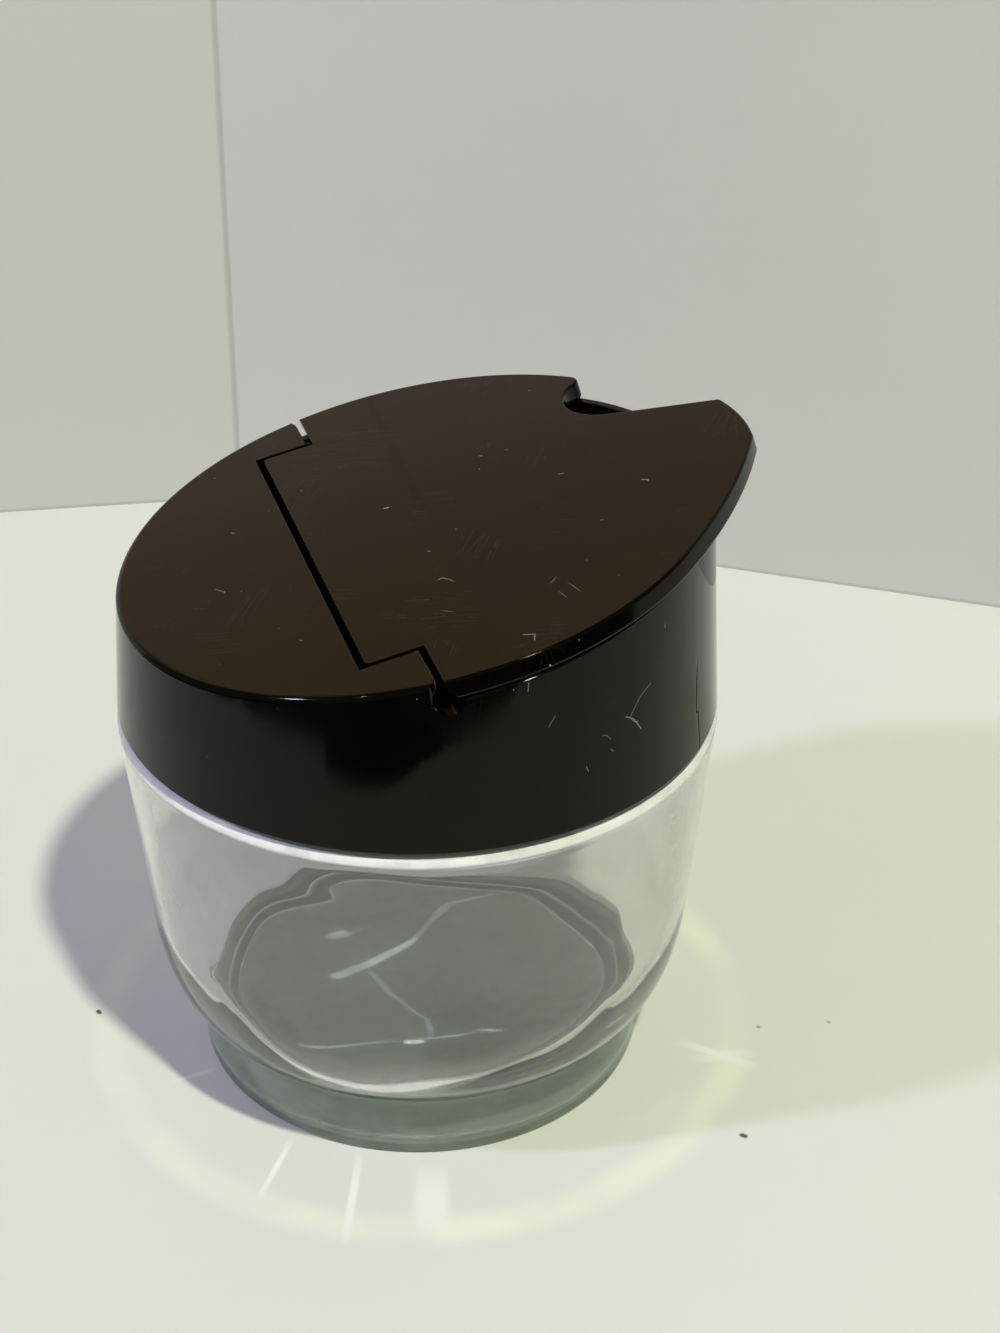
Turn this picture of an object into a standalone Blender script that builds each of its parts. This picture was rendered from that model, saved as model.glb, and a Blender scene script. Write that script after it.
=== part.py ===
"""Condiment jar: a clear glass jar, and a brown cap whose sloping lid flips open.

The jar stands on Z = 0 and its axis is upright. The cap's top rises towards the thumb beak
at -Y and falls towards the hinge side at +Y. The origin is the middle of the whole outline's
base, a little in front of the jar's axis, because the beak reaches out past the cap.

All sizes are in metres and all angles in radians. Places given as plan places are seen from
straight above and counted from the jar's axis, x to the right and y away from the beak.
"""

import math

import bmesh
import bpy
from mathutils import Matrix, Vector

# Glass jar: outside
SHOULDER_RADIUS = 0.0412
SHOULDER_HEIGHT = 0.0561
SHOULDER_ROUND = 0.0016
BODY_TAPER = 0.0027
HEEL_HEIGHT = 0.0250
HEEL_INSET = 0.0072
HEEL_POWER = 1.8
FOOT_HEIGHT = 0.0080
FOOT_GROOVE = 0.0014
FOOT_FLARE = 0.0007
FOOT_ROUND = 0.0009
BEARING_WIDTH = 0.0026
PUSH_UP = 0.0020

# Glass jar: neck and inside
NECK_INSET = 0.0038
NECK_FILLET = 0.0008
NECK_WALL = 0.0032
GLASS_RIM_ROUND = 0.0012
GLASS_WALL = 0.0030
FLOOR_THICKNESS = 0.0075
INNER_HEEL_INSET = 0.0105
INNER_SHOULDER_DROP = 0.0060
INNER_SHOULDER_RISE = 0.0025

# Cap: skirt, sloping top and seat
CAP_SET_IN = 0.0001
CAP_HEIGHT = 0.0254
SKIRT_TAPER = math.radians(3.6)
SKIRT_ROUND = 0.0005
TOP_SLOPE = math.radians(11.9)
DECK_THICKNESS = 0.0020
DECK_ROUND = 0.0008
CHIMNEY_WALL = 0.0014
SEAT_THICKNESS = 0.0016
LIP_DEPTH = 0.0030
LIP_WALL = 0.0012
SHELF_EDGE_Y = 0.0015
SHELF_SET_IN = 0.0003
THREAD_ROOM = 0.0016

# Cap: the ears that carry the lid
EAR_WIDTH = 0.0085
EAR_FRONT_Y = 0.0080
EAR_CORNER_ROUND = 0.0020
DECK_FRONT_Y = 0.0154
EAR_WALL = 0.0015
EAR_WALL_SET_BACK = 0.0003
BEARING_WALL = 0.0026
HINGE_FRAME_DEPTH = 0.0047
RELIEF_RADIUS = 0.00195
RELIEF_SET_FORWARD = 0.0013
RELIEF_DEPTH = 0.0026

# Lid
LID_OVERHANG = 0.00015
LID_THICKNESS = 0.0027
LID_PANEL = 0.0018
LID_HEEL_ROUND = 0.0022
TONGUE_ROUND = 0.0008
RING_WALL = 0.0012
RING_DEPTH = 0.0022
RING_END_Y = 0.0030
BEAK_OVERHANG = 0.00605
BEAK_TIP_HALF_WIDTH = 0.0062
BEAK_TIP_CROWN = 0.0007
BEAK_TIP_ROUND = 0.0010
BEAK_FLANK_RADIUS = 0.085
NOTCH_RADIUS = 0.0061
NOTCH_INSET = 0.0023
NOTCH_BEARING = math.radians(28.3)
NOTCH_CORNER_ROUND = 0.0018

# Hinge
HINGE_DEPTH = 0.0021
STUB_RADIUS = 0.0010
STUB_LENGTH = 0.0028
KNUCKLE_RADIUS = 0.0019
KNUCKLE_LENGTH = 0.0070

# Gaps between pieces
FIT_GAP = 0.0003
CAP_GAP = 0.0005
EAR_GAP = 0.0008
TONGUE_SIDE_GAP = 0.0006
TONGUE_REAR_GAP = 0.0009
LIP_GAP = 0.0004
RING_GAP = 0.0005

# Making
OVERRUN = 0.0060
MERGE_DISTANCE = 0.000001
TURN_STEPS = 64
ARC_STEP = math.radians(6.0)
HEEL_ARC_STEP = math.radians(9.0)
SMALL_ARC_STEP = math.radians(24.0)
PIN_SIDES = 24
INNER_BEND_SHARES = (0.0, 0.2, 0.35, 0.5, 0.65, 0.8, 1.0)
PUSH_UP_SHARES = (0.0, 0.25, 0.5, 0.75)
DECK_ROUND_SEGMENTS = 3
BEVEL_ANGLE = math.radians(35.0)
SHARP_ANGLE = math.radians(32.0)

# Sizes that follow from the ones above
NECK_RADIUS = SHOULDER_RADIUS - NECK_INSET
MOUTH_RADIUS = NECK_RADIUS - NECK_WALL
HEEL_RADIUS = SHOULDER_RADIUS - BODY_TAPER
WAIST_RADIUS = HEEL_RADIUS - HEEL_INSET
FLOOR_HEIGHT = PUSH_UP + FLOOR_THICKNESS
CAP_BOTTOM = SHOULDER_HEIGHT + CAP_GAP
CAP_RADIUS = SHOULDER_RADIUS - CAP_SET_IN
BORE_RADIUS = NECK_RADIUS + THREAD_ROOM
TOP_HEIGHT = CAP_BOTTOM + CAP_HEIGHT
LID_RADIUS = CAP_RADIUS - CAP_HEIGHT * math.tan(SKIRT_TAPER) + LID_OVERHANG
CHIMNEY_RADIUS = LID_RADIUS - LID_OVERHANG - CHIMNEY_WALL
BACK_DECK_TOP = TOP_HEIGHT - CHIMNEY_RADIUS * math.tan(TOP_SLOPE)
BACK_DECK_UNDERSIDE = BACK_DECK_TOP - DECK_THICKNESS / math.cos(TOP_SLOPE)
SEAT_UNDERSIDE = BACK_DECK_UNDERSIDE - SEAT_THICKNESS
GLASS_TOP = SEAT_UNDERSIDE - FIT_GAP
RIM_DROP = LID_THICKNESS + FIT_GAP
LID_REAR_Y = EAR_FRONT_Y - EAR_GAP
POCKET_HALF_WIDTH = math.sqrt(LID_RADIUS**2 - EAR_FRONT_Y**2) - EAR_WIDTH
TONGUE_HALF_WIDTH = POCKET_HALF_WIDTH - TONGUE_SIDE_GAP
TONGUE_REAR_Y = DECK_FRONT_Y - TONGUE_REAR_GAP
BEAK_REACH = LID_RADIUS + BEAK_OVERHANG
BEARING_RADIUS = STUB_RADIUS + FIT_GAP

# The hinge stands midway between the lid's rear edge and the deck's front edge, so that both
# meet their stops together when the lid is right back
HINGE_FOOT_Y = (LID_REAR_Y + DECK_FRONT_Y) / 2
HINGE_Y = HINGE_FOOT_Y - HINGE_DEPTH * math.sin(TOP_SLOPE)
HINGE_HEIGHT = TOP_HEIGHT - HINGE_Y * math.tan(TOP_SLOPE) - HINGE_DEPTH / math.cos(TOP_SLOPE)
JAR_AXIS_Y = (BEAK_REACH + LID_THICKNESS * math.sin(TOP_SLOPE) - SHOULDER_RADIUS) / 2

OBJECT_NAME = "condiment_jar"
GLASS_COLOUR = (0.90, 0.95, 0.92)
GLASS_ROUGHNESS = 0.02
PLASTIC_COLOUR = (0.030, 0.019, 0.012)
PLASTIC_ROUGHNESS = 0.16


# Outlines and profiles


def arc(centre, radius, start, end, step=ARC_STEP):
    """Points of an arc from one angle to another, both ends included."""
    pieces = max(1, math.ceil(abs(end - start) / step))
    angles = [start + (end - start) * number / pieces for number in range(pieces + 1)]
    return [(centre[0] + radius * math.cos(a), centre[1] + radius * math.sin(a)) for a in angles]


def rounded_corner(before, corner, after, radius):
    """Points of the fillet that replaces a corner between two neighbours on an outline."""
    corner = Vector(corner)
    inward = (Vector(before) - corner).normalized()
    outward = (Vector(after) - corner).normalized()
    half_angle = inward.angle(outward) / 2
    middle = corner + (inward + outward).normalized() * radius / math.sin(half_angle)
    first = corner + inward * radius / math.tan(half_angle) - middle
    turn = first.angle_signed(corner + outward * radius / math.tan(half_angle) - middle)
    start = math.atan2(first.y, first.x)
    return arc(middle, radius, start, start - turn, SMALL_ARC_STEP)


def round_corners(outline, radii):
    """The closed outline with a fillet at each corner that radii names by its number."""
    points = []
    for number, corner in enumerate(outline):
        if number in radii:
            after = outline[(number + 1) % len(outline)]
            points += rounded_corner(outline[number - 1], corner, after, radii[number])
        else:
            points.append(corner)
    return points


def quarter_curve(inset, height, power):
    """Offsets of a rounded heel, from its upright end to its level end."""
    steps = round(math.pi / 2 / HEEL_ARC_STEP)
    turns = [math.pi / 2 * number / steps for number in range(steps + 1)]
    return [
        (-inset * (1 - math.cos(t) ** (2 / power)), -height * math.sin(t) ** (2 / power))
        for t in turns
    ]


def skirt_radius(height):
    """The cap's outer radius at a height."""
    return CAP_RADIUS - (height - CAP_BOTTOM) * math.tan(SKIRT_TAPER)


def jar_profile():
    """The glass, from the middle of its floor up the inside, over the rim and down to the foot."""
    inner_wall = SHOULDER_RADIUS - GLASS_WALL
    inner_heel = HEEL_RADIUS - GLASS_WALL
    inner = [
        (inner_heel + across, HEEL_HEIGHT + up)
        for across, up in quarter_curve(INNER_HEEL_INSET, HEEL_HEIGHT - FLOOR_HEIGHT, HEEL_POWER)
    ]
    bend_bottom = SHOULDER_HEIGHT - INNER_SHOULDER_DROP
    bend_height = INNER_SHOULDER_DROP + INNER_SHOULDER_RISE
    bend = []
    for share in INNER_BEND_SHARES:
        eased_share = (1 - math.cos(math.pi * share)) / 2
        bend.append(
            (
                inner_wall + (MOUTH_RADIUS - inner_wall) * eased_share,
                bend_bottom + bend_height * share,
            )
        )
    rim_round = GLASS_RIM_ROUND
    rim_middle = GLASS_TOP - rim_round
    rim = arc((MOUTH_RADIUS + rim_round, rim_middle), rim_round, math.pi, math.pi / 2, SMALL_ARC_STEP)
    rim += arc((NECK_RADIUS - rim_round, rim_middle), rim_round, math.pi / 2, 0.0, SMALL_ARC_STEP)
    neck_root = arc(
        (NECK_RADIUS + NECK_FILLET, SHOULDER_HEIGHT + NECK_FILLET),
        NECK_FILLET,
        math.pi,
        math.pi * 1.5,
        SMALL_ARC_STEP,
    )
    shoulder = arc(
        (SHOULDER_RADIUS - SHOULDER_ROUND, SHOULDER_HEIGHT - SHOULDER_ROUND),
        SHOULDER_ROUND,
        math.pi / 2,
        0.0,
        SMALL_ARC_STEP,
    )
    heel_drop = HEEL_HEIGHT - FOOT_HEIGHT - FOOT_GROOVE
    heel = [
        (HEEL_RADIUS + across, HEEL_HEIGHT + up)
        for across, up in quarter_curve(HEEL_INSET, heel_drop, HEEL_POWER)
    ]
    foot_radius = WAIST_RADIUS + FOOT_FLARE
    foot = [(WAIST_RADIUS, FOOT_HEIGHT)]
    foot += arc((foot_radius - FOOT_ROUND, FOOT_ROUND), FOOT_ROUND, 0.0, -math.pi / 2, SMALL_ARC_STEP)
    bearing_inner = foot_radius - FOOT_ROUND - BEARING_WIDTH
    push_up_turns = [math.pi / 2 * share for share in PUSH_UP_SHARES]
    push_up = [(bearing_inner * math.cos(t), PUSH_UP * math.sin(t)) for t in push_up_turns]
    push_up.append((0.0, PUSH_UP))
    inside = [(0.0, FLOOR_HEIGHT)] + inner[::-1] + bend
    return inside + rim + neck_root + shoulder + heel + foot + push_up


def cap_outer_profile():
    """The cap as a full plug, down its tapered side to its lower edge."""
    top = TOP_HEIGHT + BEAK_REACH
    side_bottom = CAP_BOTTOM + SKIRT_ROUND
    edge_middle = (skirt_radius(side_bottom) - SKIRT_ROUND, side_bottom)
    edge = arc(edge_middle, SKIRT_ROUND, 0.0, -math.pi / 2, SMALL_ARC_STEP)
    return [(0.0, top), (skirt_radius(top), top)] + edge + [(0.0, CAP_BOTTOM)]


def cap_cavity_profile():
    """The cap's hollow: chimney, throat, sealing lip and the bore that takes the neck."""
    lip_outer = MOUTH_RADIUS - LIP_GAP
    throat = lip_outer - LIP_WALL
    lip_bottom = SEAT_UNDERSIDE - LIP_DEPTH
    seat_top = SEAT_UNDERSIDE + SEAT_THICKNESS
    bottom = CAP_BOTTOM - OVERRUN
    return [
        (0.0, TOP_HEIGHT + BEAK_REACH),
        (CHIMNEY_RADIUS, TOP_HEIGHT + BEAK_REACH),
        (CHIMNEY_RADIUS, seat_top),
        (throat, seat_top),
        (throat, lip_bottom),
        (lip_outer, lip_bottom),
        (lip_outer, SEAT_UNDERSIDE),
        (BORE_RADIUS, SEAT_UNDERSIDE),
        (BORE_RADIUS, bottom),
        (0.0, bottom),
    ]


def notch_centre():
    """Plan place of the spoon notch's centre."""
    reach = LID_RADIUS - NOTCH_INSET
    return Vector((reach * math.sin(NOTCH_BEARING), -reach * math.cos(NOTCH_BEARING)))


def notch_corner_centre():
    """Plan place of the round between the spoon notch and the lid's far side."""
    centre = notch_centre()
    from_notch = NOTCH_RADIUS + NOTCH_CORNER_ROUND
    from_axis = LID_RADIUS - NOTCH_CORNER_ROUND
    along = (centre.length**2 + from_axis**2 - from_notch**2) / (2 * centre.length)
    across = math.sqrt(from_axis**2 - along**2)
    outward = centre.normalized()
    return outward * along + Vector((-outward.y, outward.x)) * across


def notch_start():
    """Bearing, from the notch's centre, at which the beak's far edge runs into the notch."""
    to_notch = notch_centre() - Vector((BEAK_TIP_HALF_WIDTH, BEAK_TIP_CROWN - BEAK_REACH))
    edge_turn = math.asin(NOTCH_RADIUS / to_notch.length)
    return math.atan2(to_notch.y, to_notch.x) + edge_turn + math.pi / 2


def beak_flank(tip_corner):
    """The near flank of the beak: one long arc that leaves the lid's circle smoothly."""
    extra = BEAK_FLANK_RADIUS - LID_RADIUS
    reach = math.hypot(*tip_corner)
    cosine = (BEAK_FLANK_RADIUS**2 - reach**2 - extra**2) / (2 * extra * reach)
    leaving = math.atan2(tip_corner[1], tip_corner[0]) - math.acos(cosine)
    centre = (-extra * math.cos(leaving), -extra * math.sin(leaving))
    arriving = math.atan2(tip_corner[1] - centre[1], tip_corner[0] - centre[0])
    flank = arc(centre, BEAK_FLANK_RADIUS, leaving, arriving, ARC_STEP / 2)
    return leaving, flank


def lid_outline():
    """The lid seen from above: tongue, round sides, beak and spoon notch, in plan places."""
    side_x = math.sqrt(LID_RADIUS**2 - LID_REAR_Y**2)
    side_angle = math.atan2(LID_REAR_Y, side_x)
    tip_y = -(BEAK_REACH - BEAK_TIP_CROWN)
    near_tip = (-BEAK_TIP_HALF_WIDTH, tip_y)

    tongue = [
        (TONGUE_HALF_WIDTH, LID_REAR_Y),
        (TONGUE_HALF_WIDTH, TONGUE_REAR_Y),
        (-TONGUE_HALF_WIDTH, TONGUE_REAR_Y),
        (-TONGUE_HALF_WIDTH, LID_REAR_Y),
    ]
    leaving, flank = beak_flank(near_tip)
    near_side = arc((0.0, 0.0), LID_RADIUS, math.pi - side_angle, leaving % (2 * math.pi))

    crown_radius = (BEAK_TIP_HALF_WIDTH**2 + BEAK_TIP_CROWN**2) / (2 * BEAK_TIP_CROWN)
    crown_turn = math.asin(BEAK_TIP_HALF_WIDTH / crown_radius)
    crown_centre = (0.0, -BEAK_REACH + crown_radius)
    crown = arc(crown_centre, crown_radius, -math.pi / 2 - crown_turn, -math.pi / 2 + crown_turn)

    centre = notch_centre()
    corner_centre = notch_corner_centre()
    to_corner = corner_centre - centre
    notch_end = math.atan2(to_corner.y, to_corner.x)
    notch = arc(centre, NOTCH_RADIUS, notch_start(), notch_end, 2 * ARC_STEP)
    far_start = math.atan2(corner_centre.y, corner_centre.x)
    corner = arc(corner_centre, NOTCH_CORNER_ROUND, notch_end - math.pi, far_start, SMALL_ARC_STEP)
    far_side = arc((0.0, 0.0), LID_RADIUS, far_start, side_angle)

    parts = [tongue, near_side, flank[1:], crown[1:], notch, corner[1:], far_side[1:]]
    outline = [point for part in parts for point in part]
    near_tip_number = len(tongue) + len(near_side) + len(flank) - 2
    far_tip_number = near_tip_number + len(crown) - 1
    radii = {
        1: TONGUE_ROUND,
        2: TONGUE_ROUND,
        near_tip_number: BEAK_TIP_ROUND,
        far_tip_number: BEAK_TIP_ROUND,
    }
    return round_corners(outline, radii)


def notch_slot(radius):
    """A slot about the spoon notch, its straight sides along the beak's far edge, in plan places."""
    start = notch_start()
    inner_end = arc(notch_centre(), radius, start, start - math.pi, 2 * ARC_STEP)
    outwards = Vector((-math.sin(start), math.cos(start))) * BEAK_REACH
    outer_end = [tuple(Vector(point) + outwards) for point in (inner_end[-1], inner_end[0])]
    return inner_end + outer_end


def half_disc(radius, rear_y):
    """A disc about the jar's axis, seen from above, cut off straight at its rear."""
    angle = math.asin(rear_y / radius)
    return arc((0.0, 0.0), radius, math.pi - angle, 2 * math.pi + angle)


def lid_opening_outline():
    """What the lid's wide part leaves open in the cap's top, with the ears' corners rounded."""
    side_x = math.sqrt(LID_RADIUS**2 - EAR_FRONT_Y**2)
    beyond = BEAK_REACH + OVERRUN
    corner = arc(
        (side_x - EAR_CORNER_ROUND, EAR_FRONT_Y + EAR_CORNER_ROUND),
        EAR_CORNER_ROUND,
        -math.pi / 2,
        0.0,
        SMALL_ARC_STEP,
    )
    right = corner + [(side_x, DECK_FRONT_Y), (beyond, DECK_FRONT_Y), (beyond, -beyond)]
    left = [(-x, y) for x, y in reversed(right)]
    return left + right


def hinge_frame_outline():
    """The walls below the deck, seen from above and before the tongue's pocket is cut in them."""
    front = EAR_FRONT_Y + EAR_WALL_SET_BACK
    bearing_outside = POCKET_HALF_WIDTH + BEARING_WALL
    right = [
        (CAP_RADIUS, front),
        (CAP_RADIUS, front + EAR_WALL),
        (bearing_outside, front + EAR_WALL),
        (bearing_outside, DECK_FRONT_Y + EAR_WALL),
    ]
    left = [(-x, y) for x, y in reversed(right)]
    return right + left


def slope_place(y, depth=0.0):
    """Where a plan y lies along the slope from the hinge, at a depth below the cap's top."""
    return (y - HINGE_FOOT_Y) / math.cos(TOP_SLOPE) + depth * math.tan(TOP_SLOPE)


def on_slope(plan, depth=0.0):
    """Plan places put on the slope, at a depth below the cap's top."""
    return [(x, slope_place(y, depth)) for x, y in plan]


def heel_outline():
    """What the rounding takes from the lid's lower rear corner, seen from the side."""
    rear = slope_place(LID_REAR_Y)
    underside = HINGE_DEPTH - LID_THICKNESS
    middle = (rear - LID_HEEL_ROUND, underside + LID_HEEL_ROUND)
    outside = [
        (rear - LID_HEEL_ROUND, underside - EAR_GAP),
        (rear + EAR_GAP, underside - EAR_GAP),
        (rear + EAR_GAP, underside + LID_HEEL_ROUND),
    ]
    return outside + arc(middle, LID_HEEL_ROUND, 0.0, -math.pi / 2, SMALL_ARC_STEP)


# Blender objects


def new_collection(name):
    """A collection in the scene."""
    collection = bpy.data.collections.new(name)
    bpy.context.scene.collection.children.link(collection)
    return collection


def add_frame(name, collection, parent=None, location=(0.0, 0.0, 0.0), rotation=(0.0, 0.0, 0.0)):
    """An empty that pieces are placed in."""
    frame = bpy.data.objects.new(name, None)
    frame.location = location
    frame.rotation_euler = rotation
    frame.parent = parent
    collection.objects.link(frame)
    return frame


def add_object(name, bm, frame, collection):
    """An object from a bmesh, placed in a frame."""
    mesh = bpy.data.meshes.new(name)
    bm.to_mesh(mesh)
    bm.free()
    piece = bpy.data.objects.new(name, mesh)
    piece.parent = frame
    collection.objects.link(piece)
    return piece


def add_turned(name, profile, frame, collection):
    """A solid turned about its frame's Z axis, from a profile that starts and ends on it."""
    bm = bmesh.new()
    corners = [bm.verts.new((x, 0.0, z)) for x, z in profile]
    for first, second in zip(corners, corners[1:]):
        bm.edges.new((first, second))
    piece = add_object(name, bm, frame, collection)
    screw = piece.modifiers.new("turn", "SCREW")
    screw.axis = "Z"
    screw.steps = TURN_STEPS
    screw.render_steps = TURN_STEPS
    screw.use_merge_vertices = True
    screw.merge_threshold = MERGE_DISTANCE
    return piece


def add_plate(name, outline, low, high, frame, collection):
    """A flat outline in its frame's XY plane, made solid between two heights."""
    curve = bpy.data.curves.new(name, "CURVE")
    curve.dimensions = "2D"
    curve.fill_mode = "BOTH"
    curve.extrude = (high - low) / 2
    spline = curve.splines.new("POLY")
    spline.points.add(len(outline) - 1)
    spline.use_cyclic_u = True
    for point, (x, y) in zip(spline.points, outline):
        point.co = (x, y, 0.0, 1.0)
    drawn = bpy.data.objects.new(name + "_outline", curve)
    collection.objects.link(drawn)
    mesh = bpy.data.meshes.new_from_object(drawn.evaluated_get(bpy.context.evaluated_depsgraph_get()))
    bm = bmesh.new()
    bm.from_mesh(mesh)
    bmesh.ops.remove_doubles(bm, verts=bm.verts, dist=MERGE_DISTANCE)
    bmesh.ops.recalc_face_normals(bm, faces=bm.faces)
    bmesh.ops.translate(bm, verts=bm.verts, vec=(0.0, 0.0, (low + high) / 2))
    bpy.data.objects.remove(drawn)
    bpy.data.curves.remove(curve)
    bpy.data.meshes.remove(mesh)
    return add_object(name, bm, frame, collection)


def add_block(name, low, high, frame, collection):
    """A box between two corners in its frame."""
    low, high = Vector(low), Vector(high)
    bm = bmesh.new()
    bmesh.ops.create_cube(bm, size=1.0)
    bmesh.ops.scale(bm, verts=bm.verts, vec=high - low)
    bmesh.ops.translate(bm, verts=bm.verts, vec=(low + high) / 2)
    return add_object(name, bm, frame, collection)


def add_cross_pin(name, radius, start_x, end_x, y, z, frame, collection):
    """A round bar along its frame's X axis."""
    place = Matrix.Translation(((start_x + end_x) / 2, y, z)) @ Matrix.Rotation(math.pi / 2, 4, "Y")
    bm = bmesh.new()
    bmesh.ops.create_cone(
        bm,
        cap_ends=True,
        segments=PIN_SIDES,
        radius1=radius,
        radius2=radius,
        depth=end_x - start_x,
        matrix=place,
    )
    return add_object(name, bm, frame, collection)


def mirror(piece):
    """Repeat a piece on the other side of the jar."""
    modifier = piece.modifiers.new("other_side", "MIRROR")
    modifier.use_axis = (True, False, False)
    modifier.merge_threshold = MERGE_DISTANCE


def combine(piece, tool, operation):
    """Cut a piece by a tool, or join the tool to it."""
    modifier = piece.modifiers.new(tool.name, "BOOLEAN")
    modifier.operation = operation
    modifier.solver = "EXACT"
    modifier.object = tool


def round_edges(piece, radius, segments):
    """Round every edge of a piece that turns by more than BEVEL_ANGLE."""
    bevel = piece.modifiers.new("rounded_edges", "BEVEL")
    bevel.width = radius
    bevel.segments = segments
    bevel.limit_method = "ANGLE"
    bevel.angle_limit = BEVEL_ANGLE


def finish(piece, material):
    """Turn a modelled piece into its final mesh, smooth between its sharp edges."""
    evaluated = piece.evaluated_get(bpy.context.evaluated_depsgraph_get())
    mesh = bpy.data.meshes.new_from_object(evaluated)
    mesh.materials.clear()
    mesh.materials.append(material)
    mesh.shade_smooth()
    mesh.set_sharp_from_angle(angle=SHARP_ANGLE)
    piece.modifiers.clear()
    piece.data = mesh
    mesh.name = piece.name


def add_material(name, colour, roughness, **sockets):
    """A Principled BSDF material."""
    material = bpy.data.materials.new(name)
    material.use_nodes = True
    shader = material.node_tree.nodes["Principled BSDF"]
    shader.inputs["Base Color"].default_value = (*colour, 1.0)
    shader.inputs["Roughness"].default_value = roughness
    shader.inputs["Metallic"].default_value = 0.0
    for socket, value in sockets.items():
        shader.inputs[socket].default_value = value
    return material


# Pieces


def build_jar(frame, parts, material):
    """The glass: a tapering body on a foot ring, with a narrower neck inside the cap."""
    jar = add_turned("glass_jar", jar_profile(), frame, parts)
    finish(jar, material)


def build_cap(jar_axis, hinge_axis, parts, tools, material):
    """The cap: skirt, seat, sealing lip, rear shelf, sloping deck and the ears that carry the lid."""
    beyond = TOP_HEIGHT + BEAK_REACH
    deck_underside = HINGE_DEPTH - DECK_THICKNESS
    frame_underside = HINGE_DEPTH - HINGE_FRAME_DEPTH
    ear_front = slope_place(EAR_FRONT_Y)
    deck_front = slope_place(DECK_FRONT_Y)

    cavity = add_turned("cap_cavity", cap_cavity_profile(), jar_axis, tools)
    under_deck = add_block(
        "deck_and_above", (-beyond, -beyond, deck_underside), (beyond, beyond, beyond), hinge_axis, tools
    )
    hinge_frame = add_plate(
        "hinge_frame",
        on_slope(hinge_frame_outline()),
        frame_underside,
        HINGE_DEPTH,
        hinge_axis,
        tools,
    )
    shelf = add_block(
        "rear_shelf",
        (-CHIMNEY_RADIUS, SHELF_EDGE_Y, SEAT_UNDERSIDE + SHELF_SET_IN),
        (CHIMNEY_RADIUS, CHIMNEY_RADIUS, SEAT_UNDERSIDE + SEAT_THICKNESS - SHELF_SET_IN),
        jar_axis,
        tools,
    )
    for solid in (under_deck, hinge_frame, shelf):
        combine(cavity, solid, "DIFFERENCE")

    above_top = add_block(
        "above_the_top", (-beyond, -beyond, HINGE_DEPTH), (beyond, beyond, beyond), hinge_axis, tools
    )
    opening = add_plate(
        "lid_opening",
        on_slope(lid_opening_outline()),
        HINGE_DEPTH - RIM_DROP,
        HINGE_DEPTH + OVERRUN,
        hinge_axis,
        tools,
    )
    pocket = add_block(
        "tongue_pocket",
        (-POCKET_HALF_WIDTH, ear_front - OVERRUN, frame_underside - FIT_GAP),
        (POCKET_HALF_WIDTH, deck_front, HINGE_DEPTH + OVERRUN),
        hinge_axis,
        tools,
    )
    bearing_end = POCKET_HALF_WIDTH + BEARING_WALL + FIT_GAP
    bearings = add_cross_pin(
        "bearings", BEARING_RADIUS, -bearing_end, bearing_end, 0.0, 0.0, hinge_axis, tools
    )
    relief_y = EAR_FRONT_Y - RELIEF_SET_FORWARD
    relief = add_cross_pin(
        "ear_relief",
        RELIEF_RADIUS,
        -CAP_RADIUS - OVERRUN,
        CHIMNEY_WALL - CHIMNEY_RADIUS,
        relief_y,
        TOP_HEIGHT - relief_y * math.tan(TOP_SLOPE) - RELIEF_DEPTH,
        jar_axis,
        tools,
    )

    cap = add_turned("screw_cap", cap_outer_profile(), jar_axis, parts)
    combine(cap, above_top, "DIFFERENCE")
    round_edges(cap, DECK_ROUND, DECK_ROUND_SEGMENTS)
    for tool in (cavity, opening, pocket, bearings, relief):
        combine(cap, tool, "DIFFERENCE")
    finish(cap, material)


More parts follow.
